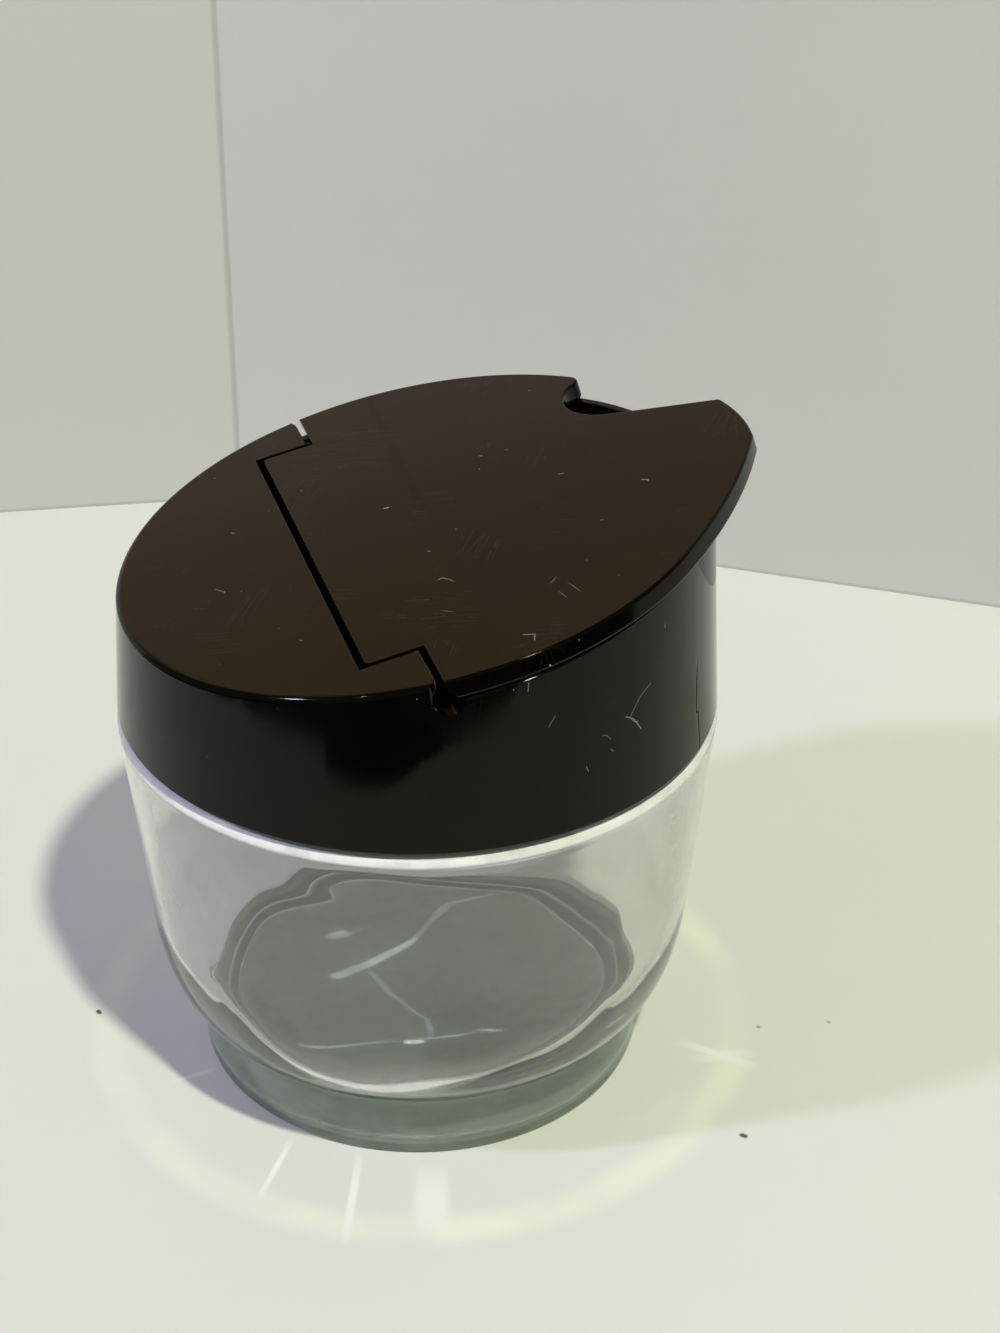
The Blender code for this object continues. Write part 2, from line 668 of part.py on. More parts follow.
def build_lid(hinge_axis, parts, tools, material):
    """The lid: a plate with its beak and notch, a seating ring below it and two hinge stubs."""
    underside = HINGE_DEPTH - LID_THICKNESS
    below_ring = underside - RING_DEPTH - OVERRUN
    ring_outer = CHIMNEY_RADIUS - RING_GAP
    ring_middle = LID_THICKNESS + RING_DEPTH / 2
    slot_radius = NOTCH_RADIUS + FIT_GAP
    ring = add_plate(
        "seating_ring",
        on_slope(half_disc(ring_outer, RING_END_Y), ring_middle),
        underside - RING_DEPTH,
        underside + FIT_GAP,
        hinge_axis,
        tools,
    )
    slot = add_plate(
        "notch_in_ring",
        on_slope(notch_slot(slot_radius)),
        below_ring,
        HINGE_DEPTH + OVERRUN,
        hinge_axis,
        tools,
    )
    hollow = add_plate(
        "lid_hollow",
        on_slope(half_disc(ring_outer - RING_WALL, RING_END_Y + RING_WALL), ring_middle),
        below_ring,
        HINGE_DEPTH - LID_PANEL,
        hinge_axis,
        tools,
    )
    ring_at_notch = add_plate(
        "ring_at_notch",
        on_slope(notch_slot(slot_radius + RING_WALL)),
        below_ring - OVERRUN,
        HINGE_DEPTH + OVERRUN,
        hinge_axis,
        tools,
    )
    combine(ring, slot, "DIFFERENCE")
    combine(hollow, ring_at_notch, "DIFFERENCE")
    side_view = add_frame(
        "hinge_side_view", tools, parent=hinge_axis, rotation=(math.pi / 2, 0.0, math.pi / 2)
    )
    heels = add_plate(
        "lid_heels", heel_outline(), TONGUE_HALF_WIDTH, LID_RADIUS + OVERRUN, side_view, tools
    )
    other_heel = add_plate(
        "other_lid_heel", heel_outline(), -LID_RADIUS - OVERRUN, -TONGUE_HALF_WIDTH, side_view, tools
    )
    knuckles = add_cross_pin(
        "knuckles",
        KNUCKLE_RADIUS,
        TONGUE_HALF_WIDTH - KNUCKLE_LENGTH,
        TONGUE_HALF_WIDTH,
        0.0,
        0.0,
        hinge_axis,
        tools,
    )
    stubs = add_cross_pin(
        "hinge_stubs",
        STUB_RADIUS,
        TONGUE_HALF_WIDTH - STUB_LENGTH,
        TONGUE_HALF_WIDTH + STUB_LENGTH,
        0.0,
        0.0,
        hinge_axis,
        tools,
    )
    mirror(knuckles)
    mirror(stubs)

    lid = add_plate("flip_lid", on_slope(lid_outline()), underside, HINGE_DEPTH, hinge_axis, parts)
    combine(lid, ring, "UNION")
    for tool in (hollow, heels, other_heel):
        combine(lid, tool, "DIFFERENCE")
    for tool in (knuckles, stubs):
        combine(lid, tool, "UNION")
    finish(lid, material)


def main():
    """Build the jar, its cap and its lid."""
    for old in list(bpy.data.objects):
        bpy.data.objects.remove(old)
    parts = new_collection(OBJECT_NAME)
    tools = new_collection("cutters")
    glass = add_material("clear_glass", GLASS_COLOUR, GLASS_ROUGHNESS, **{"Transmission Weight": 1.0})
    plastic = add_material("brown_plastic", PLASTIC_COLOUR, PLASTIC_ROUGHNESS)

    jar_axis = add_frame("jar_axis", parts, location=(0.0, JAR_AXIS_Y, 0.0))
    hinge_axis = add_frame(
        "hinge_axis",
        parts,
        parent=jar_axis,
        location=(0.0, HINGE_Y, HINGE_HEIGHT),
        rotation=(-TOP_SLOPE, 0.0, 0.0),
    )
    bpy.context.view_layer.update()
    build_jar(jar_axis, parts, glass)
    build_cap(jar_axis, hinge_axis, parts, tools, plastic)
    build_lid(hinge_axis, parts, tools, plastic)
    for tool in tools.objects:
        tool.hide_render = True
        if tool.type == "MESH":
            tool.display_type = "WIRE"


main()
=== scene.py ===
"""Looks of the condiment jar: its glass, cap and lid in full detail, on a pale table in soft light.

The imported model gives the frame. Its origin is the middle of the outline's base, the jar's axis is
upright and a little behind the origin, -Y is the side of the thumb beak and +X the side of the
spoon notch. Each class holds one sub-assembly, one finish or one part of the studio. Sizes are in
metres and angles in radians.
"""

from __future__ import annotations

import logging
import math
from dataclasses import dataclass, field
from enum import Enum
from functools import reduce
from typing import Callable, Iterable, Optional, Sequence, Union

import bmesh
import bpy
from mathutils import Matrix, Vector, noise

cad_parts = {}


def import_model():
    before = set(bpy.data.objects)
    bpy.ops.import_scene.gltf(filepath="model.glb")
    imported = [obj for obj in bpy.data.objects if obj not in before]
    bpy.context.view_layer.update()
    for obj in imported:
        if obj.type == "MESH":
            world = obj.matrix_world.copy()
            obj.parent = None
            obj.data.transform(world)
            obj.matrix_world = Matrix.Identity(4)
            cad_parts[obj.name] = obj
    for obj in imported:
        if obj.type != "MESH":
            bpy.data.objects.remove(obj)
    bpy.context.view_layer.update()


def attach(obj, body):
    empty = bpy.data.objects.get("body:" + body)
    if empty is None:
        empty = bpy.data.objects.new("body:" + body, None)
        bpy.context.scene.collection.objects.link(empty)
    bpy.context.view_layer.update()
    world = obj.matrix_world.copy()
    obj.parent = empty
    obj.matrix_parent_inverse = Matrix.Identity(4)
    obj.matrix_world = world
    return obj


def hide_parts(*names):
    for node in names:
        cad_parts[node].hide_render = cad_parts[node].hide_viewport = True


LOG = logging.getLogger("condiment_jar")
JAR_AXIS_Y = 0.002529
CAP_SLOPE = math.radians(11.9)
CAP_TOP_HEIGHT = 0.0820
LID_RADIUS = 0.039652
MERGE_DISTANCE = 0.000002
SHARP_ANGLE = math.radians(35.0)
QUARTER_TURN = math.pi / 2
WHOLE_TURN = 2 * math.pi

Plan = tuple[float, float]
Place = tuple[float, float, float]
Colour = tuple[float, float, float]


# Shader maths


class Maths(Enum):
    """The operations of a Math node that are used."""

    ADD = "ADD"
    SUBTRACT = "SUBTRACT"
    MULTIPLY = "MULTIPLY"
    MULTIPLY_ADD = "MULTIPLY_ADD"
    DIVIDE = "DIVIDE"
    POWER = "POWER"
    SQRT = "SQRT"
    ABSOLUTE = "ABSOLUTE"
    MINIMUM = "MINIMUM"
    MAXIMUM = "MAXIMUM"
    LESS_THAN = "LESS_THAN"
    SINE = "SINE"
    ARCTAN2 = "ARCTAN2"


class Field:
    """An output socket whose operators are written as nodes."""

    def __init__(self, shader: "ShaderTree", socket: bpy.types.NodeSocket) -> None:
        """Wrap a socket.

        Args:
            shader: The tree that the socket belongs to.
            socket: The output socket.
        """
        self.shader = shader
        self.socket = socket

    def maths(self, operation: Maths, *others: "Input") -> "Field":
        """Add a Math node on this value.

        Args:
            operation: What the node works out.
            others: Its second and third values.

        Returns:
            The node's result.
        """
        inputs = dict(enumerate((self, *others)))
        return self.shader.node("ShaderNodeMath", {"operation": operation.value}, inputs)

    def __add__(self, other: "Input") -> "Field":
        """Sum."""
        return self.maths(Maths.ADD, other)

    def __radd__(self, other: "Input") -> "Field":
        """Sum with a number on the left."""
        return self.maths(Maths.ADD, other)

    def __sub__(self, other: "Input") -> "Field":
        """Difference."""
        return self.maths(Maths.SUBTRACT, other)

    def __rsub__(self, other: float) -> "Field":
        """Difference from a number on the left."""
        return self.maths(Maths.MULTIPLY_ADD, -1.0, other)

    def __mul__(self, other: "Input") -> "Field":
        """Product."""
        return self.maths(Maths.MULTIPLY, other)

    def __rmul__(self, other: "Input") -> "Field":
        """Product with a number on the left."""
        return self.maths(Maths.MULTIPLY, other)

    def __truediv__(self, other: "Input") -> "Field":
        """Quotient."""
        return self.maths(Maths.DIVIDE, other)

    def __pow__(self, other: float) -> "Field":
        """Power."""
        return self.maths(Maths.POWER, other)

    def __abs__(self) -> "Field":
        """Size without sign."""
        return self.maths(Maths.ABSOLUTE)

    def at_least(self, other: "Input") -> "Field":
        """The larger of this and another value."""
        return self.maths(Maths.MAXIMUM, other)

    def clipped(self) -> "Field":
        """The value, kept between 0 and 1."""
        return self.at_least(0.0).maths(Maths.MINIMUM, 1.0)

    def bearing(self, other: "Field") -> "Field":
        """Angle of the place whose second coordinate is this and first coordinate the other."""
        return self.maths(Maths.ARCTAN2, other)

    def sine(self) -> "Field":
        """Sine of an angle."""
        return self.maths(Maths.SINE)

    def hypotenuse(self, other: "Field") -> "Field":
        """Length of the line whose two coordinates these are."""
        return (self * self + other * other).maths(Maths.SQRT)

    def rise(self, low: float, high: float) -> "Field":
        """A smooth rise from 0 to 1.

        Args:
            low: Value at which the result is 0.
            high: Value at which it is 1. It may be the smaller of the two.

        Returns:
            The eased result, clipped to 0 and 1.
        """
        settings = {"interpolation_type": "SMOOTHSTEP"}
        inputs = {"Value": self, "From Min": low, "From Max": high}
        return self.shader.node("ShaderNodeMapRange", settings, inputs)


Input = Union[Field, float, Sequence[float]]


def strongest(covers: Iterable[Field]) -> Field:
    """The largest of several values at each place."""
    return reduce(Field.at_least, covers)


class ShaderTree:
    """The node tree of a material or a world, filled by short calls."""

    def __init__(self, owner: Union[bpy.types.Material, bpy.types.World]) -> None:
        """Start an empty tree.

        Args:
            owner: The material or world that the tree belongs to.
        """
        owner.use_nodes = True
        self.of_world = isinstance(owner, bpy.types.World)
        self.tree = owner.node_tree
        self.tree.nodes.clear()

    def node(
        self,
        kind: str,
        settings: Optional[dict[str, object]] = None,
        inputs: Optional[dict[Union[str, int], Input]] = None,
        output: Union[str, int] = 0,
    ) -> Field:
        """Add a node.

        Args:
            kind: The node's type name.
            settings: Its properties, set before its inputs. "stops" are a ramp's stops.
            inputs: Values or links by socket name or number.
            output: Name or number of the output that is wanted.

        Returns:
            That output.
        """
        made = self.tree.nodes.new(kind)
        for name, value in (settings or {}).items():
            if name == "stops":
                self._set_stops(made.color_ramp, value)
            else:
                setattr(made, name, value)
        for name, value in (inputs or {}).items():
            socket = made.inputs[name]
            if isinstance(value, Field):
                self.tree.links.new(value.socket, socket)
            else:
                socket.default_value = value
        return Field(self, made.outputs[output]) if made.outputs else Field(self, None)

    @staticmethod
    def _set_stops(ramp: bpy.types.ColorRamp, stops: Sequence[tuple[float, Colour]]) -> None:
        """Give a colour ramp its stops.

        Args:
            ramp: The ramp, with its two first stops.
            stops: Position and colour of each stop.
        """
        while len(ramp.elements) < len(stops):
            ramp.elements.new(0.5)
        for element, (position, colour) in zip(ramp.elements, stops):
            element.position = position
            element.color = (*colour, 1.0)

    def places(self, scale: Place = (1.0, 1.0, 1.0), turn: Place = (0.0, 0.0, 0.0)) -> Field:
        """Places on the piece, which stay with it when it moves.

        Args:
            scale: Stretch of each coordinate.
            turn: Turn about each axis, before the stretch.

        Returns:
            The place as a vector.
        """
        place = self.node("ShaderNodeTexCoord", output="Object")
        settings = {"vector_type": "POINT"}
        turned = self.node("ShaderNodeMapping", settings, {"Vector": place, "Rotation": turn})
        inputs = {0: turned, 1: scale}
        return self.node("ShaderNodeVectorMath", {"operation": "MULTIPLY"}, inputs)

    def coordinates(self, place: Field) -> tuple[Field, Field, Field]:
        """The three coordinates of a place."""
        node = self.node("ShaderNodeSeparateXYZ", inputs={0: place}).socket.node
        return tuple(Field(self, socket) for socket in node.outputs)

    def noise(
        self, place: Field, scale: float, detail: float = 2.0, distortion: float = 0.0
    ) -> Field:
        """Cloudy noise about 0.5.

        Args:
            place: Where it is read.
            scale: Clouds in a metre.
            detail: Octaves.
            distortion: How far it is warped.

        Returns:
            The noise's value.
        """
        inputs = {"Vector": place, "Scale": scale, "Detail": detail, "Distortion": distortion}
        return self.node("ShaderNodeTexNoise", inputs=inputs)

    def specks(self, place: Field, scale: float, radius: float, share: float) -> Field:
        """Small round specks, each in its own cell.

        Args:
            place: Where they are read.
            scale: Cells in a metre.
            radius: Size of a speck as a share of its cell.
            share: Share of the cells that hold one.

        Returns:
            1 on a speck and 0 elsewhere.
        """
        inputs = {"Vector": place, "Scale": scale}
        node = self.node("ShaderNodeTexVoronoi", {"feature": "F1"}, inputs).socket.node
        near = Field(self, node.outputs["Distance"]).rise(radius, radius * 0.4)
        chosen = self.coordinates(Field(self, node.outputs["Color"]))[0]
        return near * chosen.maths(Maths.LESS_THAN, share)

    def mix(self, factor: Input, first: Input, second: Input) -> Field:
        """A mix of two colours.

        Args:
            factor: Share of the second.
            first: Colour at 0.
            second: Colour at 1.

        Returns:
            The mixed colour.
        """
        values = [(*c, 1.0) if isinstance(c, tuple) else c for c in (first, second)]
        inputs = {0: factor, 6: values[0], 7: values[1]}
        return self.node("ShaderNodeMix", {"data_type": "RGBA"}, inputs, output=2)

    def bump(self, height: Field, distance: float, strength: float = 1.0) -> Field:
        """A bumped normal.

        Args:
            height: Height from 0 to 1.
            distance: Height in metres that 1 stands for.
            strength: Share of the effect.

        Returns:
            The normal.
        """
        inputs = {"Height": height, "Distance": distance, "Strength": strength}
        return self.node("ShaderNodeBump", inputs=inputs)

    def finish(self, surface: Field, volume: Optional[Field] = None) -> None:
        """Connect the tree's output.

        Args:
            surface: The surface shader.
            volume: The volume shader, where there is one.
        """
        kind = "ShaderNodeOutputWorld" if self.of_world else "ShaderNodeOutputMaterial"
        inputs = {"Surface": surface}
        if volume is not None:
            inputs["Volume"] = volume
        self.node(kind, inputs=inputs)


# Finishes


@dataclass(frozen=True)
class Stroke:
    """A thin line on a surface, by its bends in two of the surface's coordinates."""

    bends: tuple[Plan, ...]
    width: float
    strength: float = 1.0
    tapered: bool = False

    def cover(self, across: Field, along: Field) -> Field:
        """How much the stroke covers a place.

        Args:
            across: The place's first coordinate.
            along: Its second.

        Returns:
            The strength on the line and 0 beside it.
        """
        lines = []
        for start, end in zip(self.bends, self.bends[1:]):
            run, climb = end[0] - start[0], end[1] - start[1]
            beside, above = across - start[0], along - start[1]
            share = (beside * run + above * climb) * (1 / (run**2 + climb**2))
            share = share.clipped()
            off = (beside - share * run).hypotenuse(above - share * climb)
            line = off.rise(self.width, self.width * 0.3) * self.strength
            if self.tapered:
                line = line * (share * math.pi).sine()
            lines.append(line)
        return strongest(lines)


def drawn(strokes: Iterable[Stroke], across: Field, along: Field) -> Field:
    """How much a set of strokes covers a place, by the place's two coordinates."""
    return strongest(stroke.cover(across, along) for stroke in strokes)


@dataclass(frozen=True)
class Specks:
    """Specks of one size: cells in a metre, their radius in a cell, how many, how strong."""

    scale: float
    radius: float
    share: float
    strength: float


@dataclass(frozen=True)
class Crack:
    """A hairline crack that runs up the skirt from its lower edge."""

    bearing: float = math.radians(-41.7)
    low: float = 0.0560
    high: float = 0.0716
    jog_height: float = 0.0630
    jog: float = 0.0007
    width: float = 0.00026
    upper_lean: float = 0.06
    lower_lean: float = 0.085
    wander: float = 0.0003
    wander_scale: float = 900.0
    fade: float = 0.004
    colour: Colour = (0.0008, 0.0006, 0.0005)
    depth: float = 4.0
    roughness: float = 0.5


@dataclass(frozen=True)
class PlasticFinish:
    """Glossy, very dark brown moulded plastic with dust, smudges, hair scratches and a painted
    reflection on its upward faces.
    """

    name: str
    colour: Colour = (0.0016, 0.0013, 0.0005)
    painted_top_light_colour: Colour = (0.0180, 0.0088, 0.0015)
    worn_colour: Colour = (0.026, 0.015, 0.006)
    dust_colour: Colour = (0.55, 0.53, 0.47)
    roughness: float = 0.055
    smudge_roughness: float = 0.05
    specular_level: float = 0.18
    specular_tint: Colour = (1.0, 0.97, 0.86)
    crack: Optional[Crack] = None
    lint: tuple[Stroke, ...] = ()
    hairs: tuple[Stroke, ...] = ()
    specks: tuple[Specks, ...] = (
        Specks(520.0, 0.055, 0.16, 0.45),
        Specks(150.0, 0.024, 0.20, 0.9),
    )
    skirt_radius: float = 0.0405
    top_facing: Plan = (0.90, 0.98)
    top_depth: float = 0.0012
    recess_light_share: float = 0.35
    smudge_scale: float = 55.0
    peel_scale: float = 420.0
    peel_height: float = 0.12
    wear_scale: float = 30.0
    wear_share: float = 0.3
    scratch_turns: tuple[Plan, ...] = ((0.6, 0.0), (-1.1, 0.37))
    scratch_stretch: Place = (1.0, 14.0, 3.0)
    scratch_scale: float = 75.0
    scratch_width: float = 0.0035
    scratch_share: float = 0.25
    scratch_depth: float = 0.35
    scratch_roughness: float = 0.2
    dust_height: float = 0.5
    dust_roughness: float = 0.5
    relief: float = 0.00003

    def material(self) -> bpy.types.Material:
        """Build the material.

        Returns:
            The material.
        """
        material = bpy.data.materials.new(self.name)
        shader = ShaderTree(material)
        place = shader.places()
        smudges = shader.noise(place, self.smudge_scale, detail=4.0, distortion=0.6)
        peel = shader.noise(place, self.peel_scale, detail=2.0)
        scratches = self._scratches(shader)
        dust = self._dust(shader, place)
        x, y, z = shader.coordinates(place)
        if self.lint:
            lint = drawn(self.lint, x.bearing(JAR_AXIS_Y - y) * self.skirt_radius, z)
            dust = dust.at_least(lint)
        sine, cosine = math.sin(CAP_SLOPE), math.cos(CAP_SLOPE)
        normal = shader.coordinates(shader.node("ShaderNodeTexCoord", output="Normal"))
        facing = (normal[1] * sine + normal[2] * cosine).rise(*self.top_facing)
        if self.hairs:
            dust = dust.at_least(drawn(self.hairs, x, y) * facing)
        # Painted light: upward faces get a lighter colour, a painted reflection of the room, which
        # is dimmed as painted shade in recesses below the top.
        depth = (CAP_TOP_HEIGHT - z) * cosine - (y - JAR_AXIS_Y) * sine
        low = depth.rise(self.top_depth * 0.5, self.top_depth)
        facing = facing * (1 - low * (1 - self.recess_light_share))
        wear = shader.noise(place, self.wear_scale, detail=3.0).rise(0.35, 0.75)
        # The upward faces' colour: the painted reflection, mixed with real wear.
        top = shader.mix(wear * self.wear_share, self.painted_top_light_colour, self.worn_colour)
        colour = shader.mix(facing, self.colour, top)
        colour = shader.mix(scratches * self.scratch_share, colour, self.worn_colour)
        colour = shader.mix(dust, colour, self.dust_colour)
        height = peel * self.peel_height - scratches * self.scratch_depth
        height = height + dust * self.dust_height
        roughness = self.roughness + smudges.rise(0.42, 0.68) * self.smudge_roughness
        roughness = roughness + scratches * self.scratch_roughness + dust * self.dust_roughness
        if self.crack is not None:
            opening = self._crack_opening(shader, place, self.crack)
            colour = shader.mix(opening, colour, self.crack.colour)
            height = height - opening * self.crack.depth
            roughness = roughness + opening * self.crack.roughness
        inputs = {
            "Base Color": colour,
            "Roughness": roughness,
            "Specular IOR Level": self.specular_level,
            "Specular Tint": (*self.specular_tint, 1.0),
            "Normal": shader.bump(height, self.relief),
        }
        shader.finish(shader.node("ShaderNodeBsdfPrincipled", inputs=inputs))
        return material

    def _scratches(self, shader: ShaderTree) -> Field:
        """Short hair scratches in two directions.

        Args:
            shader: The tree to add to.

        Returns:
            1 on a scratch and 0 elsewhere.
        """
        layers = []
        for turn, shift in self.scratch_turns:
            place = shader.places(scale=self.scratch_stretch, turn=(0.0, 0.0, turn))
            off = abs(shader.noise(place, self.scratch_scale, detail=1.0) - (0.5 + 0.02 * shift))
            patch = shader.noise(shader.places(), 90.0 + 40.0 * shift).rise(0.60, 0.68)
            layers.append(off.rise(self.scratch_width, 0.0) * patch)
        return strongest(layers)

    def _dust(self, shader: ShaderTree, place: Field) -> Field:
        """Pale specks of dust in two sizes.

        Args:
            shader: The tree to add to.
            place: Places on the piece.

        Returns:
            How much dust there is, up to 1.
        """
        found = []
        for size in self.specks:
            specks = shader.specks(place, size.scale, size.radius, size.share)
            found.append(specks * size.strength)
        return strongest(found)

    def _crack_opening(self, shader: ShaderTree, place: Field, crack: Crack) -> Field:
        """The crack's dark line.

        Args:
            shader: The tree to add to.
            place: Places on the piece.
            crack: The crack's course.

        Returns:
            1 in the crack and 0 elsewhere.
        """
        x, y, z = shader.coordinates(place)
        bearing = x.bearing(JAR_AXIS_Y - y)
        across = (bearing - crack.bearing) * self.skirt_radius
        side = z.rise(crack.jog_height - 0.0002, crack.jog_height + 0.0004)
        slant = side * crack.upper_lean - (1.0 - side) * crack.lower_lean
        lean = (z - crack.jog_height) * slant
        wander = (shader.noise(place, crack.wander_scale, detail=2.0) - 0.5) * crack.wander
        line = abs(across + side * crack.jog - lean + wander).rise(crack.width, crack.width * 0.35)
        return line * z.rise(crack.high, crack.high - crack.fade)


@dataclass(frozen=True)
class GlassFinish:
    """Clear pressed glass with a green cast where it is thick."""

    name: str = "pressed_glass"
    colour: Colour = (1.0, 1.0, 1.0)
    ior: float = 1.52
    depth_colour: Colour = (0.50, 0.73, 0.60)
    depth_density: float = 11.0
    ripple_height: float = 0.00006
    ripple_scale: float = 120.0
    ripple_stretch: Place = (1.0, 1.0, 0.45)
    smear_scale: float = 40.0
    smear_roughness: float = 0.03
    frost_roughness: float = 0.6
    base_colour: Colour = (0.98, 1.0, 1.0)
    foot_colour: Colour = (0.78, 0.92, 0.80)
    base_haze: float = 0.70
    base_height: float = 0.0022
    base_edge: float = 0.0003
    base_radius: float = 0.0318
    base_rim: float = 0.0004
    foot_haze: float = 0.20
    foot_top: float = 0.0085
    foot_edge: float = 0.0010
    inner_haze: float = 0.19
    inner_edge: float = 0.0002
    inner_foot: float = 0.02755
    inner_heel: float = 0.00885
    heel_height: float = 0.0250
    heel_drop: float = 0.0155
    heel_power: float = 1.8
    wall_slope: float = 0.087
    reflection_band_share: float = 0.80
    band_height: float = 0.0545
    band_edge: float = 0.0006
    band_radius: float = 0.0397
    band_rim: float = 0.0003
    stipple: float = 0.3
    stipple_scale: float = 260.0

    def material(self) -> bpy.types.Material:
        """Build the material.

        Returns:
            The material.
        """
        material = bpy.data.materials.new(self.name)
        shader = ShaderTree(material)
        place = shader.places()
        stretched = shader.places(scale=self.ripple_stretch)
        height = shader.noise(stretched, self.ripple_scale, detail=1.0)
        smears = shader.noise(place, self.smear_scale, detail=3.0).rise(0.52, 0.75)
        inputs = {
            "Base Color": (*self.colour, 1.0),
            "Roughness": smears * self.smear_roughness,
            "IOR": self.ior,
            "Transmission Weight": 1.0,
            "Normal": shader.bump(height, self.ripple_height),
        }
        surface = shader.node("ShaderNodeBsdfPrincipled", inputs=inputs)
        _, _, z = shader.coordinates(place)
        lower = z.rise(self.foot_top + self.foot_edge * 2, self.foot_top)
        inputs = {
            "Base Color": shader.mix(lower, self.base_colour, self.foot_colour),
            "Roughness": self.frost_roughness,
        }
        frosted = shader.node("ShaderNodeBsdfPrincipled", inputs=inputs)
        inputs = {0: self.haze(shader, place), 1: surface, 2: frosted}
        surface = shader.node("ShaderNodeMixShader", inputs=inputs)
        depth = {"Color": (*self.depth_colour, 1.0), "Density": self.depth_density}
        shader.finish(surface, shader.node("ShaderNodeVolumeAbsorption", inputs=depth))
        return material

    def haze(self, shader: ShaderTree, place: Field) -> Field:
        """How frosted the glass is: on its base and foot, inside, and on its shoulder.

        A renderer follows light through glass for a few reflections only, and clear glass turns
        black where it needs more. A light frost keeps those places as bright as the real glass. The
        white frost in a band on the shoulder is a painted reflection of the bright band under the
        cap.

        Args:
            shader: The tree to add to.
            place: Places on the glass.

        Returns:
            The frosted share.
        """
        x, y, z = shader.coordinates(place)
        radius = x.hypotenuse(y - JAR_AXIS_Y)
        under = radius.rise(self.base_radius, self.base_radius - self.base_rim) * self.base_haze
        base = z.rise(self.base_height + self.base_edge, self.base_height) * under
        foot = z.rise(self.foot_top + self.foot_edge, self.foot_top) * self.foot_haze
        drop = ((self.heel_height - z) / self.heel_drop).clipped()
        bulge = (1 - drop**self.heel_power) ** (1 / self.heel_power)
        above = (z - self.heel_height).at_least(0.0)
        middle = bulge * self.inner_heel + above * self.wall_slope + self.inner_foot
        inside = (radius - middle).rise(self.inner_edge, -self.inner_edge) * self.inner_haze
        # Painted reflection: a white frosted band on the shoulder stands for the bright band under
        # the cap's edge.
        around = radius.rise(self.band_radius, self.band_radius + self.band_rim)
        reflection_band = z.rise(self.band_height, self.band_height + self.band_edge) * around * self.reflection_band_share
        stipple = shader.noise(place, self.stipple_scale, detail=3.0).rise(0.2, 0.7)
        stipple = stipple * self.stipple + (1 - self.stipple / 2)
        return strongest((base, foot, inside, reflection_band)) * stipple


@dataclass(frozen=True)
class StageFinish:
    """A matt, nearly plain surface of the studio."""

    name: str
    colour: Colour
    one_sided: bool = False
    roughness: float = 0.55
    specular_level: float = 0.25
    cloud_scale: float = 14.0
    cloud_shade: float = 0.96

    def material(self) -> bpy.types.Material:
        """Build the material.

        Returns:
            The material, clear from behind where it is one-sided.
        """
        material = bpy.data.materials.new(self.name)
        shader = ShaderTree(material)
        place = shader.places()
        clouds = shader.noise(place, self.cloud_scale, detail=3.0)
        shade = tuple(channel * self.cloud_shade for channel in self.colour)
        inputs = {
            "Base Color": self.marked(shader, place, shader.mix(clouds, self.colour, shade)),
            "Roughness": self.roughness,
            "Specular IOR Level": self.specular_level,
        }
        inputs |= self.glow(shader, place)
        surface = shader.node("ShaderNodeBsdfPrincipled", inputs=inputs)
        if self.one_sided:
            behind = shader.node("ShaderNodeNewGeometry", output="Backfacing")
            clear = shader.node("ShaderNodeBsdfTransparent")
            surface = shader.node("ShaderNodeMixShader", inputs={0: behind, 1: surface, 2: clear})
        shader.finish(surface)
        return material

    def marked(self, shader: ShaderTree, place: Field, colour: Field) -> Field:
        """The surface's colour with its marks, none on a plain surface.

        Args:
            shader: The tree to add to; not used on a plain surface.
            place: Places on the surface; not used on a plain surface.
            colour: Its colour without marks.

        Returns:
            The colour.
        """
        return colour

    def glow(self, shader: ShaderTree, place: Field) -> dict[str, object]:
        """Settings for light gathered on the surface, none on a plain surface.

        Args:
            shader: The tree to add to; not used on a plain surface.
            place: Places on the surface; not used on a plain surface.

        Returns:
            The emission sockets and their values.
        """
        return {}


@dataclass(frozen=True)
class WallFinish(StageFinish):
    """Wall paint darkened upwards by painted shade, with a fine dark joint in the corner and at the
    table.
    """

    corner: Plan = (0.0, 0.0)
    shade_start: float = 0.10
    shade_end: float = 0.22
    shaded_share: float = 0.40
    joint_width: float = 0.0009
    joint_shade: float = 0.80

    def marked(self, shader: ShaderTree, place: Field, colour: Field) -> Field:
        """The paint's colour with its painted shade and its joints.

        Args:
            shader: The tree to add to.
            place: Places on the wall.
            colour: Its colour without marks.

        Returns:
            The colour.
        """
        x, y, z = shader.coordinates(place)
        # Painted shade: the wall darkens upwards to a share of its colour, and its joints darken
        # alike.
        fade = z.rise(self.shade_start, self.shade_end)
        upper = tuple(channel * self.shaded_share for channel in self.colour)
        colour = shader.mix(fade, colour, upper)
        joint = (x - self.corner[0]).hypotenuse(y - self.corner[1])
        joint = joint.maths(Maths.MINIMUM, z).rise(self.joint_width, self.joint_width * 0.3)
        dark = tuple(channel * self.joint_shade for channel in self.colour)
        upper_dark = tuple(channel * self.joint_shade for channel in upper)
        return shader.mix(joint, colour, shader.mix(fade, dark, upper_dark))


